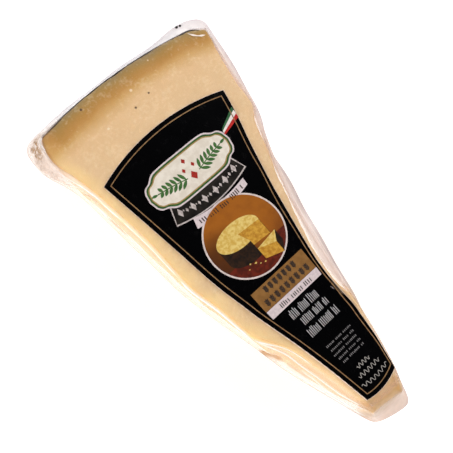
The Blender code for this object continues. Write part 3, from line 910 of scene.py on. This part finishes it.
def film_sheet(name, points, faces, haze, tint, ear):
    """One sheet of the pouch, with its milkiness, colour and share of the ear kept on its points."""
    sheet = made(name, points, faces, film_finish, "film")
    # Clear film hardly shades what it covers.
    sheet.visible_shadow = False
    store(sheet, "haze", np.clip(haze, LEAST_MILK, MOST_MILK))
    store(sheet, "ear", ear)
    colours = sheet.data.attributes.new("tint", "FLOAT_COLOR", "POINT")
    colours.data.foreach_set("color", np.column_stack([tint, np.ones(len(tint))]).ravel())
    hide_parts("vacuum_pack")


film_sheet("film_upper_sheet", *upper_film())
film_sheet("film_lower_sheet", *lower_film())

# A pleat of film across the rind's right corner, as (x, y) points, a lens in section.
PLEAT_PATH = [(28.0, 180.6), (29.2, 179.0), (31.0, 177.4), (33.0, 176.4)]
PLEAT_WIDTH = 0.55
PLEAT_HEIGHT = 0.12


def pleat():
    """The pleat's skin: a thin raised tube along its path that tapers to both ends."""
    across, far = np.array(PLEAT_PATH).T
    given = np.linspace(0, 1, len(PLEAT_PATH))
    share = np.linspace(0, 1, 60)
    x, y = curve_through(list(zip(given, across)))(share), curve_through(list(zip(given, far)))(share)
    path = np.stack([x, y], axis=1)
    ahead = np.gradient(path, axis=0)
    aside = np.stack([-ahead[:, 1], ahead[:, 0]], axis=1) / np.linalg.norm(ahead, axis=1)[:, None]
    swell = np.sin(math.pi * np.clip(share, 0.01, 0.99)) ** 0.5
    swell = swell * (1 + 0.25 * lumps(at_height(path, 0), 1.5, 91))
    rows = []
    for turn in np.linspace(0, 2 * math.pi, 13)[:-1]:
        plan = path + aside * (PLEAT_WIDTH / 2 * swell * math.cos(turn))[:, None]
        rows.append(at_height(plan, FILM_TOP + 0.02 + PLEAT_HEIGHT * swell * math.sin(turn)))
    return closed_tube(rows)


def pleat_surface(start):
    """Film folded double: milky, faintly pink and glossy, its near-white colour partly a painted highlight.
    """
    here = start.place()
    return {"Base Color": here.noise(1.2, 3.0).mix(srgb(255, 246, 236), srgb(244, 222, 208)),
            "Roughness": 0.12 + here.noise(0.8) * 0.15}


corner_pleat = made("film_corner_pleat", *pleat(), finished("film_pleat", pleat_surface, IOR=1.6), "film")
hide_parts("vacuum_pack")

# ---------------------------------------------------------------- the label
# A black printed label, die-cut as a slice with rounded ends and stuck on the film a little askew. It is
# glossy film on white paper, so its cut edge is a pale hairline. Its long cuts have crept with the film, and
# near the tip it bends down over the pack's edge. The next sections draw its print.
LABEL_POINT = (4.8, -3.9)
LABEL_TURN = math.radians(2.4)
# Each long cut is (distance from the label's own point, offset from its middle).
LABEL_LEFT = [(45, -7.6), (62, -10.5), (74, -12.95), (80, -14.35), (86, -15.85), (92, -17.3), (98, -18.5),
              (110, -20.9), (130, -23.45), (162, -27.8)]
LABEL_RIGHT = [(45, 7.5), (54, 9.1), (60, 10.2), (68, 11.1), (74, 11.6), (80, 11.4), (86, 11.5),
               (92, 12.0), (98, 12.9), (106, 14.4), (114, 16.0), (122, 17.6), (130, 19.5),
               (140, 22.1), (150, 25.0), (162, 27.7)]
# Each end is an arc: (its centre's distance, its radius, its centre's offset). The near end's is negative.
LABEL_TOP = (86.3, 78.3, 0.0)
LABEL_END = (66.3, -21.7, -1.4)
# The bare margin round the print, the gap below the sheet, its thickness, and how far it may bend down.
LABEL_MARGIN = 0.15
LABEL_LIFT = 0.05
LABEL_THICKNESS = 0.13
LABEL_WRAP_LIMIT = math.radians(75)


def on_pack(across, far, lift):
    """Places label points, given in millimetres across and along the label, on the pack's top and edge."""
    x = LABEL_POINT[0] + across * math.cos(LABEL_TURN) - far * math.sin(LABEL_TURN)
    y = LABEL_POINT[1] + across * math.sin(LABEL_TURN) + far * math.cos(LABEL_TURN)
    radius = FILM_EDGE["right"]
    bend_start = curve_through(TOP_RIGHT)(y) - radius
    turn = np.clip((x - bend_start) / radius, 0, LABEL_WRAP_LIMIT)
    lift = lift + 0.03 + 0.03 * lumps(np.stack([x, y, 0 * x], axis=-1), 13.0, 51)
    bent = turn > 0
    folded_x = np.where(bent, bend_start + (radius + lift) * np.sin(turn), x)
    z = PACK_HEIGHT - radius + (radius + lift) * np.cos(turn)
    return np.stack([folded_x, y, np.where(bent, z, PACK_HEIGHT + lift)], axis=-1)


def label_outline(inset=0.0, right_inset=None):
    """The label's closed edge moved in by inset: up the left cut, over the top arc, down, round the end."""
    left, right = curve_through(LABEL_LEFT), curve_through(LABEL_RIGHT)

    def left_at(far):
        return left(far) + inset

    def right_at(far):
        return right(far) - (right_inset(far) if right_inset else inset)

    def arc(end, across):
        """How far along the label this end's arc lies at this offset."""
        centre, radius, offset = end
        bow = np.sqrt((abs(radius) - inset) ** 2 - (across - offset) ** 2)
        return centre + math.copysign(1, radius) * bow

    corners = []
    for edge_at, end in ((left_at, LABEL_END), (left_at, LABEL_TOP),
                         (right_at, LABEL_TOP), (right_at, LABEL_END)):
        far = end[0] + end[1]
        for _ in range(12):
            far = float(arc(end, edge_at(far)))
        corners.append(far)
    up = np.linspace(corners[0], corners[1], ALONG + 1)[:-1]
    over = np.linspace(left_at(corners[1]), right_at(corners[2]), ACROSS + 1)[:-1]
    down = np.linspace(corners[2], corners[3], ALONG + 1)[:-1]
    under = np.linspace(right_at(corners[3]), left_at(corners[0]), ACROSS + 1)[:-1]
    return np.concatenate([np.stack([left_at(up), up], axis=1),
                           np.stack([over, arc(LABEL_TOP, over)], axis=1),
                           np.stack([right_at(down), down], axis=1),
                           np.stack([under, arc(LABEL_END, under)], axis=1)])


def label_body():
    """The sheet: its printed face, a hair of bare margin round it, a thin cut edge, and its back."""
    face, edge = label_outline(LABEL_MARGIN), label_outline()
    points, faces = skin([at_height(face, 1.0), at_height(edge, 0.98), at_height(edge, 0.0)])
    lifted = LABEL_LIFT + LABEL_THICKNESS * points[:, 2]
    return on_pack(points[:, 0], points[:, 1], lifted), faces


def black_print(start):
    """Solid black ink under gloss varnish, faintly mottled, with dust and light rubbing."""
    here = start.place()
    rubbed = here.noise(3.0, 4.0, 0.7).between(0.55, 0.8)
    colour = (rubbed * 0.35).mix(srgb(1, 1, 2), srgb(11, 9, 8))
    dust = here.specks(2.3, 0.09) * here.noise(11.0).between(0.5, 0.6)
    colour = (dust * 0.25).mix(colour, srgb(120, 112, 104))
    varnish = here.noise(2.2, 2.0) + here.noise(0.35, 1.0) * 0.12
    return {"Base Color": colour, "Roughness": 0.26 + rubbed * 0.2, "Normal": start.relief(varnish, 0.03)}


def paper_core(start):
    """The paper that shows at the cut edge: pale and faintly mottled."""
    mottle = start.place().noise(1.6, 2.0)
    return {"Base Color": mottle.between(0.35, 0.65).mix(srgb(240, 216, 196), srgb(206, 178, 156))}


label_finish = finished("label_black", black_print, Specular_IOR_Level=0.12)
label = made("label", *label_body(), label_finish, "label")
# The film lies tight under the label, so no shadow line runs along its edge.
label.visible_shadow = False
label.data.materials.append(finished("label_paper_edge", paper_core, Roughness=0.7))
# The two bands of wall come last among the faces.
edge_faces = np.zeros(len(label.data.polygons), dtype=np.int32)
edge_faces[-4 * (ALONG + ACROSS):] = 1
label.data.polygons.foreach_set("material_index", edge_faces)
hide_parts("label")

# ---------------------------------------------------------------- the label's border and blocks of colour
# Fields printed over the black: a thin gold border that follows the edge, a three-coloured ribbon in the top
# corner, a gold-brown band with a white one under it, and rows of pale marks. Each is a skin of ink on the
# label. They are joined by colour, one piece for each ink.
# The step from one layer of ink to the next, and the border's distance from the cut and its width.
INK = 0.010
BORDER_INSET = 1.78
BORDER_WIDTH = 0.36
# On the right the border wanders with the cut: (distance along the label, how far in from the cut).
BORDER_RIGHT = [(45, 0.65), (54, 0.65), (62, 1.1), (70, 1.35), (75, 1.3), (82, 0.85), (88, 0.95), (104, 1.2),
                (116, 1.5), (128, 1.15), (138, 1.55), (162, 1.75)]


def printed(name, patches, layer, finish):
    """A piece of one ink: grids of label points laid on the label, facing up, above the lower layers."""
    points, faces, count = [], [], 0
    for patch in patches:
        over, along = patch[:-1, 1:] - patch[:-1, :-1], patch[1:, :-1] - patch[:-1, :-1]
        if (over[..., 0] * along[..., 1] - over[..., 1] * along[..., 0]).sum() < 0:
            patch = patch[:, ::-1]
        ids = count + np.arange(patch.shape[0] * patch.shape[1]).reshape(patch.shape[:2])
        points.append(patch.reshape(-1, 2))
        faces.append(grid_faces(ids))
        count += ids.size
    flat = np.concatenate(points)
    placed = on_pack(flat[:, 0], flat[:, 1], LABEL_LIFT + LABEL_THICKNESS + INK * (layer + 0.6))
    piece = made(name, placed, np.concatenate(faces), finish, "label", closed=False)
    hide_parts("label")


def sheet_between(low, high, rows=2):
    """A grid of label points from one row of points to another."""
    share = np.linspace(0, 1, rows + 1)[:, None, None]
    return np.asarray(low) * (1 - share) + np.asarray(high) * share


def stroke(path, width):
    """A line along a path of label points, of one width or of a width for each of its points."""
    path = np.asarray(path, float)
    ahead = np.gradient(path, axis=0)
    aside = np.stack([-ahead[:, 1], ahead[:, 0]], axis=1)
    aside /= np.linalg.norm(aside, axis=1)[:, None]
    half = aside * np.broadcast_to(width, len(path))[:, None] / 2
    return sheet_between(path - half, path + half)


def four_sided(a, b, c, d, steps=12):
    """A grid over the four-sided shape with these corners in order."""
    a, b, c, d = (np.array(corner, float) for corner in (a, b, c, d))
    share = np.linspace(0, 1, steps + 1)[:, None]
    return sheet_between(a + (b - a) * share, d + (c - d) * share, steps)


def ink(name, first, second, size=1.6, roughness=0.36):
    """Printed colour: two close tones mottled together, with a little unevenness in its gloss."""
    def varying(start):
        here = start.place()
        mottle = here.noise(size, 3.0, 0.6)
        return {"Base Color": mottle.between(0.35, 0.65).mix(srgb(*first), srgb(*second)),
                "Roughness": roughness + here.noise(2.0, 2.0) * 0.2,
                "Normal": start.relief(here.noise(0.5, 2.0) + here.noise(2.2, 2.0), 0.02)}
    return finished(name, varying, Specular_IOR_Level=0.25)


outer = label_outline(BORDER_INSET, curve_through(BORDER_RIGHT))
inner = label_outline(BORDER_INSET + BORDER_WIDTH,
                      curve_through([(far, away + BORDER_WIDTH) for far, away in BORDER_RIGHT]))
border = sheet_between(np.concatenate([outer, outer[:1]]), np.concatenate([inner, inner[:1]]))
printed("label_gold_border", [border], 2, ink("border_gold", (152, 118, 80), (126, 94, 62)))

# The ribbon in the top right corner: three bars side by side, from (start, end) pairs of their corners.
RIBBON_TOP = [(17.2, 149.3), (25.2, 153.3)]
RIBBON_FOOT = [(16.4, 146.9), (24.7, 148.9)]
ribbon_inks = [("ribbon_green", (38, 84, 48), (58, 104, 66)),
               ("ribbon_white", (238, 228, 220), (222, 210, 204)),
               ("ribbon_red", (196, 40, 34), (170, 28, 26))]
cuts = [np.array(RIBBON_TOP) * (1 - share) + np.array(RIBBON_FOOT) * share for share in (0, 0.3, 0.66, 1)]
for (name, first, second), high, low in zip(ribbon_inks, cuts[:-1], cuts[1:]):
    printed("label_" + name, [four_sided(*low, *high[::-1])], 1, ink(name, first, second))

GOLD_BAND = [(-13.9, 91.4), (10.0, 91.3), (10.2, 99.5), (-14.0, 99.4)]
printed("label_gold_band", [four_sided(*GOLD_BAND, 20)], 1,
        ink("band_gold", (142, 100, 52), (128, 88, 44), 2.2))
pale = ink("pale_ink", (220, 204, 204), (204, 188, 190), 0.9)


def marks_in_row(far, first, last, height, width, gap, seed, word=(2, 7)):
    """Upright strokes in a row, of uneven height, in groups of a few with wider gaps between the groups."""
    chance = np.random.default_rng(seed)
    strokes, across, left = [], first, chance.integers(*word)
    while across < last:
        tall = height * chance.uniform(0.72, 1.0)
        low = far - height / 2
        strokes.append(four_sided((across, low), (across + width, low), (across + width, low + tall),
                                  (across, low + tall), 2))
        across += width + gap * chance.uniform(0.7, 1.3)
        left -= 1
        if left == 0:
            across += gap * 1.8
            left = chance.integers(*word)
    return strokes


# Rows of marks under the bands: (distance of the row's middle, from, to, height, stroke width, gap).
GREY_ROWS = [(84.9, -8.3, 4.6, 3.6, 0.24, 0.42), (80.6, -6.4, 5.4, 3.1, 0.24, 0.42),
             (76.0, -7.4, 5.8, 3.6, 0.24, 0.42)]
SMALL_ROWS = [(68.4, -6.0, 5.4, 0.8, 0.30, 0.34), (66.4, -5.6, 6.0, 0.8, 0.30, 0.34),
              (64.5, -6.0, 5.2, 0.8, 0.30, 0.34), (62.6, -5.4, 5.8, 0.8, 0.30, 0.34),
              (60.7, -5.0, 4.6, 0.8, 0.30, 0.34)]
# (piece, its rows, the first row's seed, how many strokes make a group, its ink)
for block, table, seed, word, block_ink in (
        ("label_grey_marks", GREY_ROWS, 60, (5, 10), ("grey_ink", (204, 202, 204), (170, 168, 170), 0.7)),
        ("label_small_marks", SMALL_ROWS, 70, (3, 9), ("dim_ink", (132, 128, 128), (112, 108, 108), 0.6))):
    marks = [mark for number, row in enumerate(table) for mark in marks_in_row(*row, seed + number, word)]
    printed(block, marks, 1, ink(*block_ink))

# Waves near the tip: (distance, from, to, rise in the middle, crest height, crest pitch).
WAVES = [(56.0, -2.6, 3.2, 0.0, 0.75, 1.5), (53.2, -4.4, 5.4, -0.3, 0.8, 1.7),
         (50.3, -5.6, 6.6, -1.0, 0.75, 1.9)]
waves = []
for far, first, last, rise, crest, pitch in WAVES:
    across = np.linspace(first, last, 90)
    bow = 1 - ((across - (first + last) / 2) / ((last - first) / 2)) ** 2
    level = far + rise * bow + crest * np.sin(2 * math.pi * across / pitch) * np.clip(4 * bow, 0, 1)
    waves.append(stroke(np.stack([across, level], axis=1), 0.24))
printed("label_waves", waves, 1, ink("wave_ink", (172, 166, 160), (146, 140, 134), 0.7))

# ---------------------------------------------------------------- the label's ornaments
# Generic ornament in the inks of such a label: a cream plaque with green sprigs, a black ribbon with silver
# lozenges, a bowed white band with dark dashes, and ears of grain on the gold band. Each ink is a layer of
# its own, laid over the one that it is printed on.
PLAQUE_MIDDLE = (-1.1, 145.4)
PLAQUE_HALF = (18.2, 7.8)
# Each outline of the plaque, from outside in: (how far inside the outermost, ink).
PLAQUE_LINES = [(0.0, pale), (0.55, ink("plaque_green", (46, 78, 36), (62, 96, 46))),
                (1.2, ink("plaque_gold", (176, 146, 92), (150, 120, 72))),
                (1.6, ink("plaque_cream", (232, 222, 208), (218, 206, 190), 3.0))]


def plaque(inset, steps=60):
    """A ticket-shaped field: straight long sides, and ends drawn in and out as a soft bracket."""
    half_long, half_high = PLAQUE_HALF[0] - inset, PLAQUE_HALF[1] - inset
    across = np.linspace(-1, 1, steps + 1)
    high = half_high * (1 - np.abs(across) ** 5.0) ** 0.5
    high = high * (1 - 0.17 * np.exp(-((np.abs(across) - 0.80) / 0.10) ** 2)) + 0.001
    x = PLAQUE_MIDDLE[0] + half_long * across
    return sheet_between(np.stack([x, PLAQUE_MIDDLE[1] - high], axis=1),
                         np.stack([x, PLAQUE_MIDDLE[1] + high], axis=1), 16)


for layer, (inset, plaque_ink) in enumerate(PLAQUE_LINES):
    printed(f"label_plaque_{layer + 1}", [plaque(inset)], layer + 4, plaque_ink)


def leaf(root, angle, length, width, steps=10):
    """A pointed leaf from its root along an angle: width grows and falls as a sine."""
    along = np.linspace(0, 1, steps + 1)
    axis = np.array([math.cos(angle), math.sin(angle)])
    aside = np.array([-axis[1], axis[0]])
    middle = np.array(root) + axis * (along * length)[:, None]
    half = aside * (width / 2 * np.sin(math.pi * along) ** 0.8 + 0.01)[:, None]
    return sheet_between(middle - half, middle + half)


def sprig(side):
    """A bowed stem with pairs of leaves, growing from the plaque's middle towards one end."""
    reach = np.linspace(2.6, 14.2, 40)
    stem = np.stack([PLAQUE_MIDDLE[0] + side * reach, PLAQUE_MIDDLE[1] - 2.6 + 0.30 * reach
                     - 0.006 * reach**2], axis=1)
    shapes = [stroke(stem, 0.36)]
    for number, spot in enumerate(range(2, 38, 6)):
        size = 3.7 - 0.28 * number
        for turn in (0.95, -0.85):
            angle = 0.24 + turn if side > 0 else math.pi - 0.24 - turn
            shapes.append(leaf(stem[spot], angle, size, 1.15))
    shapes.append(leaf(stem[-1], 0.2 if side > 0 else math.pi - 0.2, 2.4, 1.0))
    return shapes


def lozenge(middle, half_wide, half_high):
    """A diamond about a middle."""
    x, y = middle
    return four_sided((x - half_wide, y), (x, y - half_high), (x + half_wide, y), (x, y + half_high), 4)


green = ink("sprig_green", (52, 92, 44), (74, 112, 58), 1.0)
printed("label_sprigs", sprig(1) + sprig(-1), 9, green)
berries = [lozenge((PLAQUE_MIDDLE[0] + x, PLAQUE_MIDDLE[1] + y), size, size * 1.3)
           for x, y, size in ((0.0, -2.2, 1.35), (0.0, 3.9, 0.8), (2.0, 1.1, 0.7), (-2.0, 1.1, 0.7))]
printed("label_plaque_lozenges", berries, 9, ink("lozenge_red", (170, 44, 34), (146, 36, 28), 0.8))

# The black ribbon below the plaque hangs in a shallow bow, and so does the white band below it. Corners are
# (left top, left foot, right foot, right top), and the middle dips by this much.
RIBBON_CORNERS = [(-15.0, 140.5), (-17.5, 133.4), (14.8, 133.8), (12.5, 140.7)]
RIBBON_DIP = 2.6
BOWED_CORNERS = [(-11.5, 132.0), (-12.6, 128.3), (11.0, 128.8), (11.2, 131.6)]
BOWED_DIP = 1.3


def hanging(corners, dip, inset=0.0, steps=50):
    """A bowed ribbon between four corners, drawn in all round by inset."""
    left_top, left_foot, right_foot, right_top = (np.array(corner, float) for corner in corners)
    share = np.linspace(0, 1, steps + 1)[:, None]
    bow = np.concatenate([np.zeros_like(share), 4 * share * (1 - share) * dip], axis=1)
    side = np.array([inset, 0.0])
    up = np.array([0.0, inset])
    high = (left_top + side - up) * (1 - share) + (right_top - side - up) * share - bow
    low = (left_foot + side + up) * (1 - share) + (right_foot - side + up) * share - bow
    return sheet_between(low, high, 6)


silver = ink("ribbon_silver", (204, 192, 188), (166, 154, 150), 0.8)
printed("label_ribbon_edge", [hanging(RIBBON_CORNERS, RIBBON_DIP)], 1, silver)
printed("label_ribbon_black", [hanging(RIBBON_CORNERS, RIBBON_DIP, 0.42)], 2,
        ink("ribbon_black", (14, 10, 8), (36, 31, 26), 3.5, 0.3))
# The chain of lozenges starts at this offset, is this long, and hangs from this distance along the label.
CHAIN_START = -16.2
CHAIN_LENGTH = 29.8
CHAIN_FAR = 137.1
chain = []
for number, share in enumerate(np.linspace(0.09, 0.91, 11)):
    across = CHAIN_START + CHAIN_LENGTH * share
    far = CHAIN_FAR - 4 * share * (1 - share) * RIBBON_DIP
    wide, tall = ((0.95, 1.75), (0.5, 0.8))[number % 2]
    chain.append(lozenge((across, far), wide, tall))
    chain.append(lozenge((across + 1.36, far), 0.28, 0.4))
printed("label_ribbon_lozenges", chain, 3, silver)
printed("label_bowed_band", [hanging(BOWED_CORNERS, BOWED_DIP)], 1, pale)
dark = ink("dark_ink", (44, 34, 28), (64, 50, 40), 0.7)
# The bowed band's dashes, laid out in the same way.
DASHES_START = -11.6
DASHES_LENGTH = 22.2
DASHES_FAR = 130.15
dashes = []
for mark in marks_in_row(0.0, -10.4, 9.4, 1.9, 0.42, 0.55, 81, (3, 6)):
    share = (mark[..., 0] - DASHES_START) / DASHES_LENGTH
    mark[..., 1] += DASHES_FAR - 4 * share * (1 - share) * BOWED_DIP
    dashes.append(mark)
printed("label_band_dashes", dashes, 2, dark)
WHITE_BAND = [(-13.6, 88.0), (9.8, 88.1), (10.0, 91.2), (-13.8, 91.3)]
printed("label_white_band", [four_sided(*WHITE_BAND, 20)], 1, pale)
printed("label_white_band_dashes", marks_in_row(89.6, -8.6, 5.4, 1.8, 0.36, 0.5, 82, (3, 7)), 2, dark)


def grain_ear(x, y, height):
    """An upright ear of grain: a stem and three pairs of slanting grains."""
    shapes = [stroke(np.stack([np.full(8, x), np.linspace(y, y + height * 0.8, 8)], axis=1), 0.26)]
    for step in (0.12, 0.36, 0.60):
        for angle in (math.radians(52), math.radians(128)):
            shapes.append(leaf((x, y + height * step), angle, height * 0.42, 0.52, 6))
    shapes.append(leaf((x, y + height * 0.66), math.pi / 2, height * 0.36, 0.5, 6))
    return shapes


# Rows of ears on the gold band: (foot of the row, first, last, how many, height).
EAR_ROWS = [(95.9, -8.6, 4.4, 7, 2.9), (91.9, -11.2, 7.4, 9, 3.1)]
ears = [shape for foot, first, last, count, tall in EAR_ROWS
        for x in np.linspace(first, last, count) for shape in grain_ear(x, foot, tall)]
printed("label_grain_ears", ears, 2, dark)

# ---------------------------------------------------------------- the label's painted shade and pale cut
# Two blots at the label's right cut are painted shade: a brown one along the edge and a paler grey one
# beside it. Along the lower half of the left cut the paper's pale core shows. Each blot is a thin pointed
# shape over the other inks, and the pale cut is a line of uneven width.
# Painted shade: a brown blot along the right cut.
shade_blots = [leaf((10.9, 77.4), 1.60, 5.6, 0.9), leaf((11.1, 80.4), 1.66, 3.6, 0.6)]
printed("label_painted_shade_edge", shade_blots, 3, ink("painted_shade_brown", (92, 70, 50), (26, 18, 14), 0.8, 0.5))
# Painted shade: a paler grey blot beside it.
scuffs = [leaf((9.7, 81.2), 1.75, 1.7, 0.5)]
printed("label_painted_shade_grey", scuffs, 3, ink("painted_shade_grey", (140, 128, 128), (60, 52, 52), 0.6, 0.5))

# The pale cut runs between these distances along the label, and is this wide.
PALE_CUT = (45.5, 112.0)
PALE_CUT_WIDTH = 0.30
along_cut = np.linspace(*PALE_CUT, 160)
cut_line = np.stack([curve_through(LABEL_LEFT)(along_cut) + 0.5 * PALE_CUT_WIDTH, along_cut], axis=1)
fading = np.clip((PALE_CUT[1] - along_cut) / 40, 0.2, 1)
cut_width = PALE_CUT_WIDTH * fading * (1 + 0.25 * np.sin(2.3 * along_cut))
printed("label_pale_cut", [stroke(cut_line, cut_width)], 2,
        ink("pale_cut", (250, 226, 208), (226, 198, 178)))

# ---------------------------------------------------------------- the label's round picture
# A generic still life in a white-rimmed circle: a wheel of hard cheese with a slice taken out of it, and
# the slice beside it, on a red-brown board before a brown ground. Flat shapes, each of one ink with grain.
PICTURE_MIDDLE = (-1.8, 115.8)
PICTURE_RADIUS = 15.1
PICTURE_RIM = 0.62


def round_field(middle, radius, low=-1.0, high=1.0, steps=40):
    """A disc, or the slice of it between two heights given as shares of its radius, as a grid of chords."""
    share = np.linspace(math.asin(low), math.asin(high), steps + 1)
    half = np.cos(share) * radius
    level = middle[1] + np.sin(share) * radius
    left = np.stack([middle[0] - half, level], axis=1)
    right = np.stack([middle[0] + half, level], axis=1)
    return sheet_between(left, right, steps)


# The picture's middle in plan.
picture_here = on_pack(*[np.array([value]) for value in PICTURE_MIDDLE], 0.0)[0, :2]


def picture_ground(start):
    """Warm brown cloth: lighter above and to the right, nearly black low on the left, softly clouded."""
    here = start.place()
    x, y = picture_here
    glow = here.near(x + 1.0, y + 9.0, PACK_HEIGHT, 24.0)
    shade = here.near(x - 11.0, y - 6.0, PACK_HEIGHT, 17.0)
    colour = (glow * (0.6 + 0.7 * here.noise(3.0, 3.0))).mix(srgb(92, 40, 8), srgb(158, 90, 20))
    colour = (shade * 0.75).mix(colour, srgb(56, 24, 6))
    return {"Base Color": colour, "Roughness": 0.36 + here.noise(2.0) * 0.2,
            "Normal": start.relief(here.noise(0.6, 2.0), 0.02)}


picture = [("rim", round_field(PICTURE_MIDDLE, PICTURE_RADIUS),
            ink("picture_rim", (222, 206, 200), (202, 186, 180))),
           ("ground", round_field(PICTURE_MIDDLE, PICTURE_RADIUS - PICTURE_RIM),
            finished("picture_ground", picture_ground, Specular_IOR_Level=0.25)),
           ("board", round_field(PICTURE_MIDDLE, PICTURE_RADIUS - PICTURE_RIM, -1.0, -0.42),
            ink("board_red", (104, 32, 14), (74, 22, 9), 2.6))]
for layer, (name, shape, finish) in enumerate(picture):
    printed("label_picture_" + name, [shape], layer + 1, finish)

# The wheel is an oval with its middle here, and it stands this tall. The slice is cut between two angles.
WHEEL_MIDDLE = np.array([-3.4, 117.8])
WHEEL_HALF = (9.2, 4.6)
WHEEL_TALL = 6.2
CUT = (-78.0, -8.0)
rind_ink = ink("picture_rind", (46, 26, 12), (24, 14, 8), 1.8)
paste_ink = ink("picture_paste", (226, 198, 118), (204, 164, 76), 1.3)
shade_ink = ink("picture_paste_shade", (206, 156, 58), (176, 120, 36), 1.3)


def wheel_edge(degrees):
    """The points of the wheel's oval edge at these angles."""
    angle = np.radians(degrees)
    return WHEEL_MIDDLE + np.stack([WHEEL_HALF[0] * np.cos(angle), WHEEL_HALF[1] * np.sin(angle)], axis=-1)


def wheel_top(first, last):
    """The wheel's top between two angles, as a fan of rays from just off its middle."""
    edge = wheel_edge(np.linspace(first, last, 41))
    return sheet_between(WHEEL_MIDDLE + 0.002 * (edge - WHEEL_MIDDLE), edge, 8)


def wheel_side(first, last):
    """The wheel's side below its edge between two angles."""
    edge = wheel_edge(np.linspace(first, last, 41))
    return sheet_between(edge - [0, WHEEL_TALL], edge, 6)


def face_below(first, second, tall):
    """The upright face, this tall, below the edge from one point to another."""
    down = np.array([0.0, tall])
    return four_sided(first - down, second - down, second, first)


near_cut, far_cut = wheel_edge(CUT[0]), wheel_edge(CUT[1])
printed("label_picture_wheel_rind", [wheel_side(-180, CUT[0]), wheel_side(CUT[1], 0)], 5, rind_ink)
printed("label_picture_wheel_cut", [face_below(near_cut, WHEEL_MIDDLE, WHEEL_TALL),
                                    face_below(WHEEL_MIDDLE, far_cut, WHEEL_TALL)], 4, shade_ink)
printed("label_picture_wheel_top", [wheel_top(CUT[1], 360 + CUT[0])], 6, paste_ink)

# The slice lies in front on the right, its point towards the viewer's left, with crumbs: (x, y, size).
SLICE = [np.array(corner) for corner in ((-1.4, 109.6), (5.4, 107.2), (7.6, 110.8))]
SLICE_TALL = 4.4
CRUMBS = [(-5.2, 106.4, 0.55), (-3.9, 105.2, 0.35), (-7.0, 107.3, 0.4), (-2.2, 104.6, 0.45),
          (-8.4, 106.0, 0.3)]
printed("label_picture_slice_side", [face_below(SLICE[0], SLICE[1], SLICE_TALL)], 7, shade_ink)
printed("label_picture_slice_rind", [face_below(SLICE[1], SLICE[2], SLICE_TALL)], 7, rind_ink)
printed("label_picture_slice_top", [four_sided(*SLICE, SLICE[0] + [0.05, 0.05])], 8, paste_ink)
crumbs = [lozenge((x, y), size, size * 0.7) for x, y, size in CRUMBS]
printed("label_picture_crumbs", crumbs, 8, paste_ink)

# ---------------------------------------------------------------- the floor, the light and the camera
# A plain pale floor, soft light from all round with the brighter side on the left, and a camera close
# above the pack and off to its left, turned so that the wedge lies across the picture.
# The floor's half width and its height, in metres. It glows a little, as the ground in the photo does.
FLOOR_HALF = 3.0
FLOOR_HEIGHT = -0.0002
FLOOR_GLOW = 0.32


def pale_ground(start):
    """White paper, very faintly clouded."""
    return {"Base Color": start.place().noise(40.0).mix(srgb(255, 255, 255), srgb(252, 252, 252))}


floor_mesh = bpy.data.meshes.new("floor")
floor_corners = [(x * FLOOR_HALF, y * FLOOR_HALF, FLOOR_HEIGHT)
                 for x, y in ((-1, -1), (1, -1), (1, 1), (-1, 1))]
floor_mesh.from_pydata(floor_corners, [], [(0, 1, 2, 3)])
floor = bpy.data.objects.new("floor", floor_mesh)
bpy.context.scene.collection.objects.link(floor)
floor_mesh.materials.append(finished("pale_floor", pale_ground, Roughness=0.9,
                                     Emission_Color=(1.0, 1.0, 1.0, 1.0), Emission_Strength=FLOOR_GLOW))

# The surroundings are bright round the sides and nearly dark overhead, so the label's varnish stays black.
world = bpy.data.worlds.new("studio")
world.use_nodes = True
sky = Shade(world.node_tree)
aim = sky.node("ShaderNodeTexCoord", output="Generated")
lift = sky.node("ShaderNodeSeparateXYZ", None, {"Vector": aim}, "Z")
glow = lift.between(0.90, 0.40).mix((0.05, 0.05, 0.05), (1.3, 1.3, 1.3))
background = world.node_tree.nodes["Background"]
world.node_tree.links.new(glow.socket, background.inputs["Color"])
background.inputs["Strength"].default_value = 1.03
bpy.context.scene.world = world
bpy.context.scene.view_settings.view_transform = "Standard"

# (name, place, size, power) in metres and watts, each pointing at the pack.
LAMPS = [("key_left", (-0.55, -0.05, 0.38), 0.45, 1.5), ("side_soft", (0.55, 0.30, 0.50), 0.5, 1.8),
         ("rim_back", (0.25, 0.55, 0.30), 0.2, 0.7)]
for name, place, size, power in LAMPS:
    lamp = bpy.data.lights.new(name, "AREA")
    lamp.size = size
    lamp.energy = power
    holder = bpy.data.objects.new(name, lamp)
    holder.location = place
    holder.rotation_euler = Vector(place).to_track_quat("Z", "Y").to_euler()
    bpy.context.scene.collection.objects.link(holder)

# The camera's place in millimetres from the wedge's point, how far it is tilted to the side and rolled, and
# its sensor and lens in millimetres.
CAMERA_PLACE = np.array([-42.4896, 118.2814, 189.2227 + PACK_HEIGHT])
CAMERA_TILT = math.radians(11.25088)
CAMERA_ROLL = math.radians(38.77803)
CAMERA_SENSOR = 36.0
CAMERA_LENS = CAMERA_SENSOR * 560 / 453
sideways = Vector((math.cos(CAMERA_TILT), 0.0, math.sin(CAMERA_TILT)))
ahead = Vector((0.0, 1.0, 0.0))
back = Vector((-math.sin(CAMERA_TILT), 0.0, math.cos(CAMERA_TILT)))
right = sideways * math.cos(CAMERA_ROLL) - ahead * math.sin(CAMERA_ROLL)
up = sideways * math.sin(CAMERA_ROLL) + ahead * math.cos(CAMERA_ROLL)
camera_data = bpy.data.cameras.new("camera")
camera_data.lens = CAMERA_LENS
camera_data.sensor_width = CAMERA_SENSOR
camera_data.clip_start = 0.01
camera = bpy.data.objects.new("camera", camera_data)
turned = Matrix((right, up, back)).transposed().to_4x4()
camera.matrix_world = Matrix.Translation(Vector(in_metres(CAMERA_PLACE))) @ turned
bpy.context.scene.collection.objects.link(camera)
bpy.context.scene.camera = camera
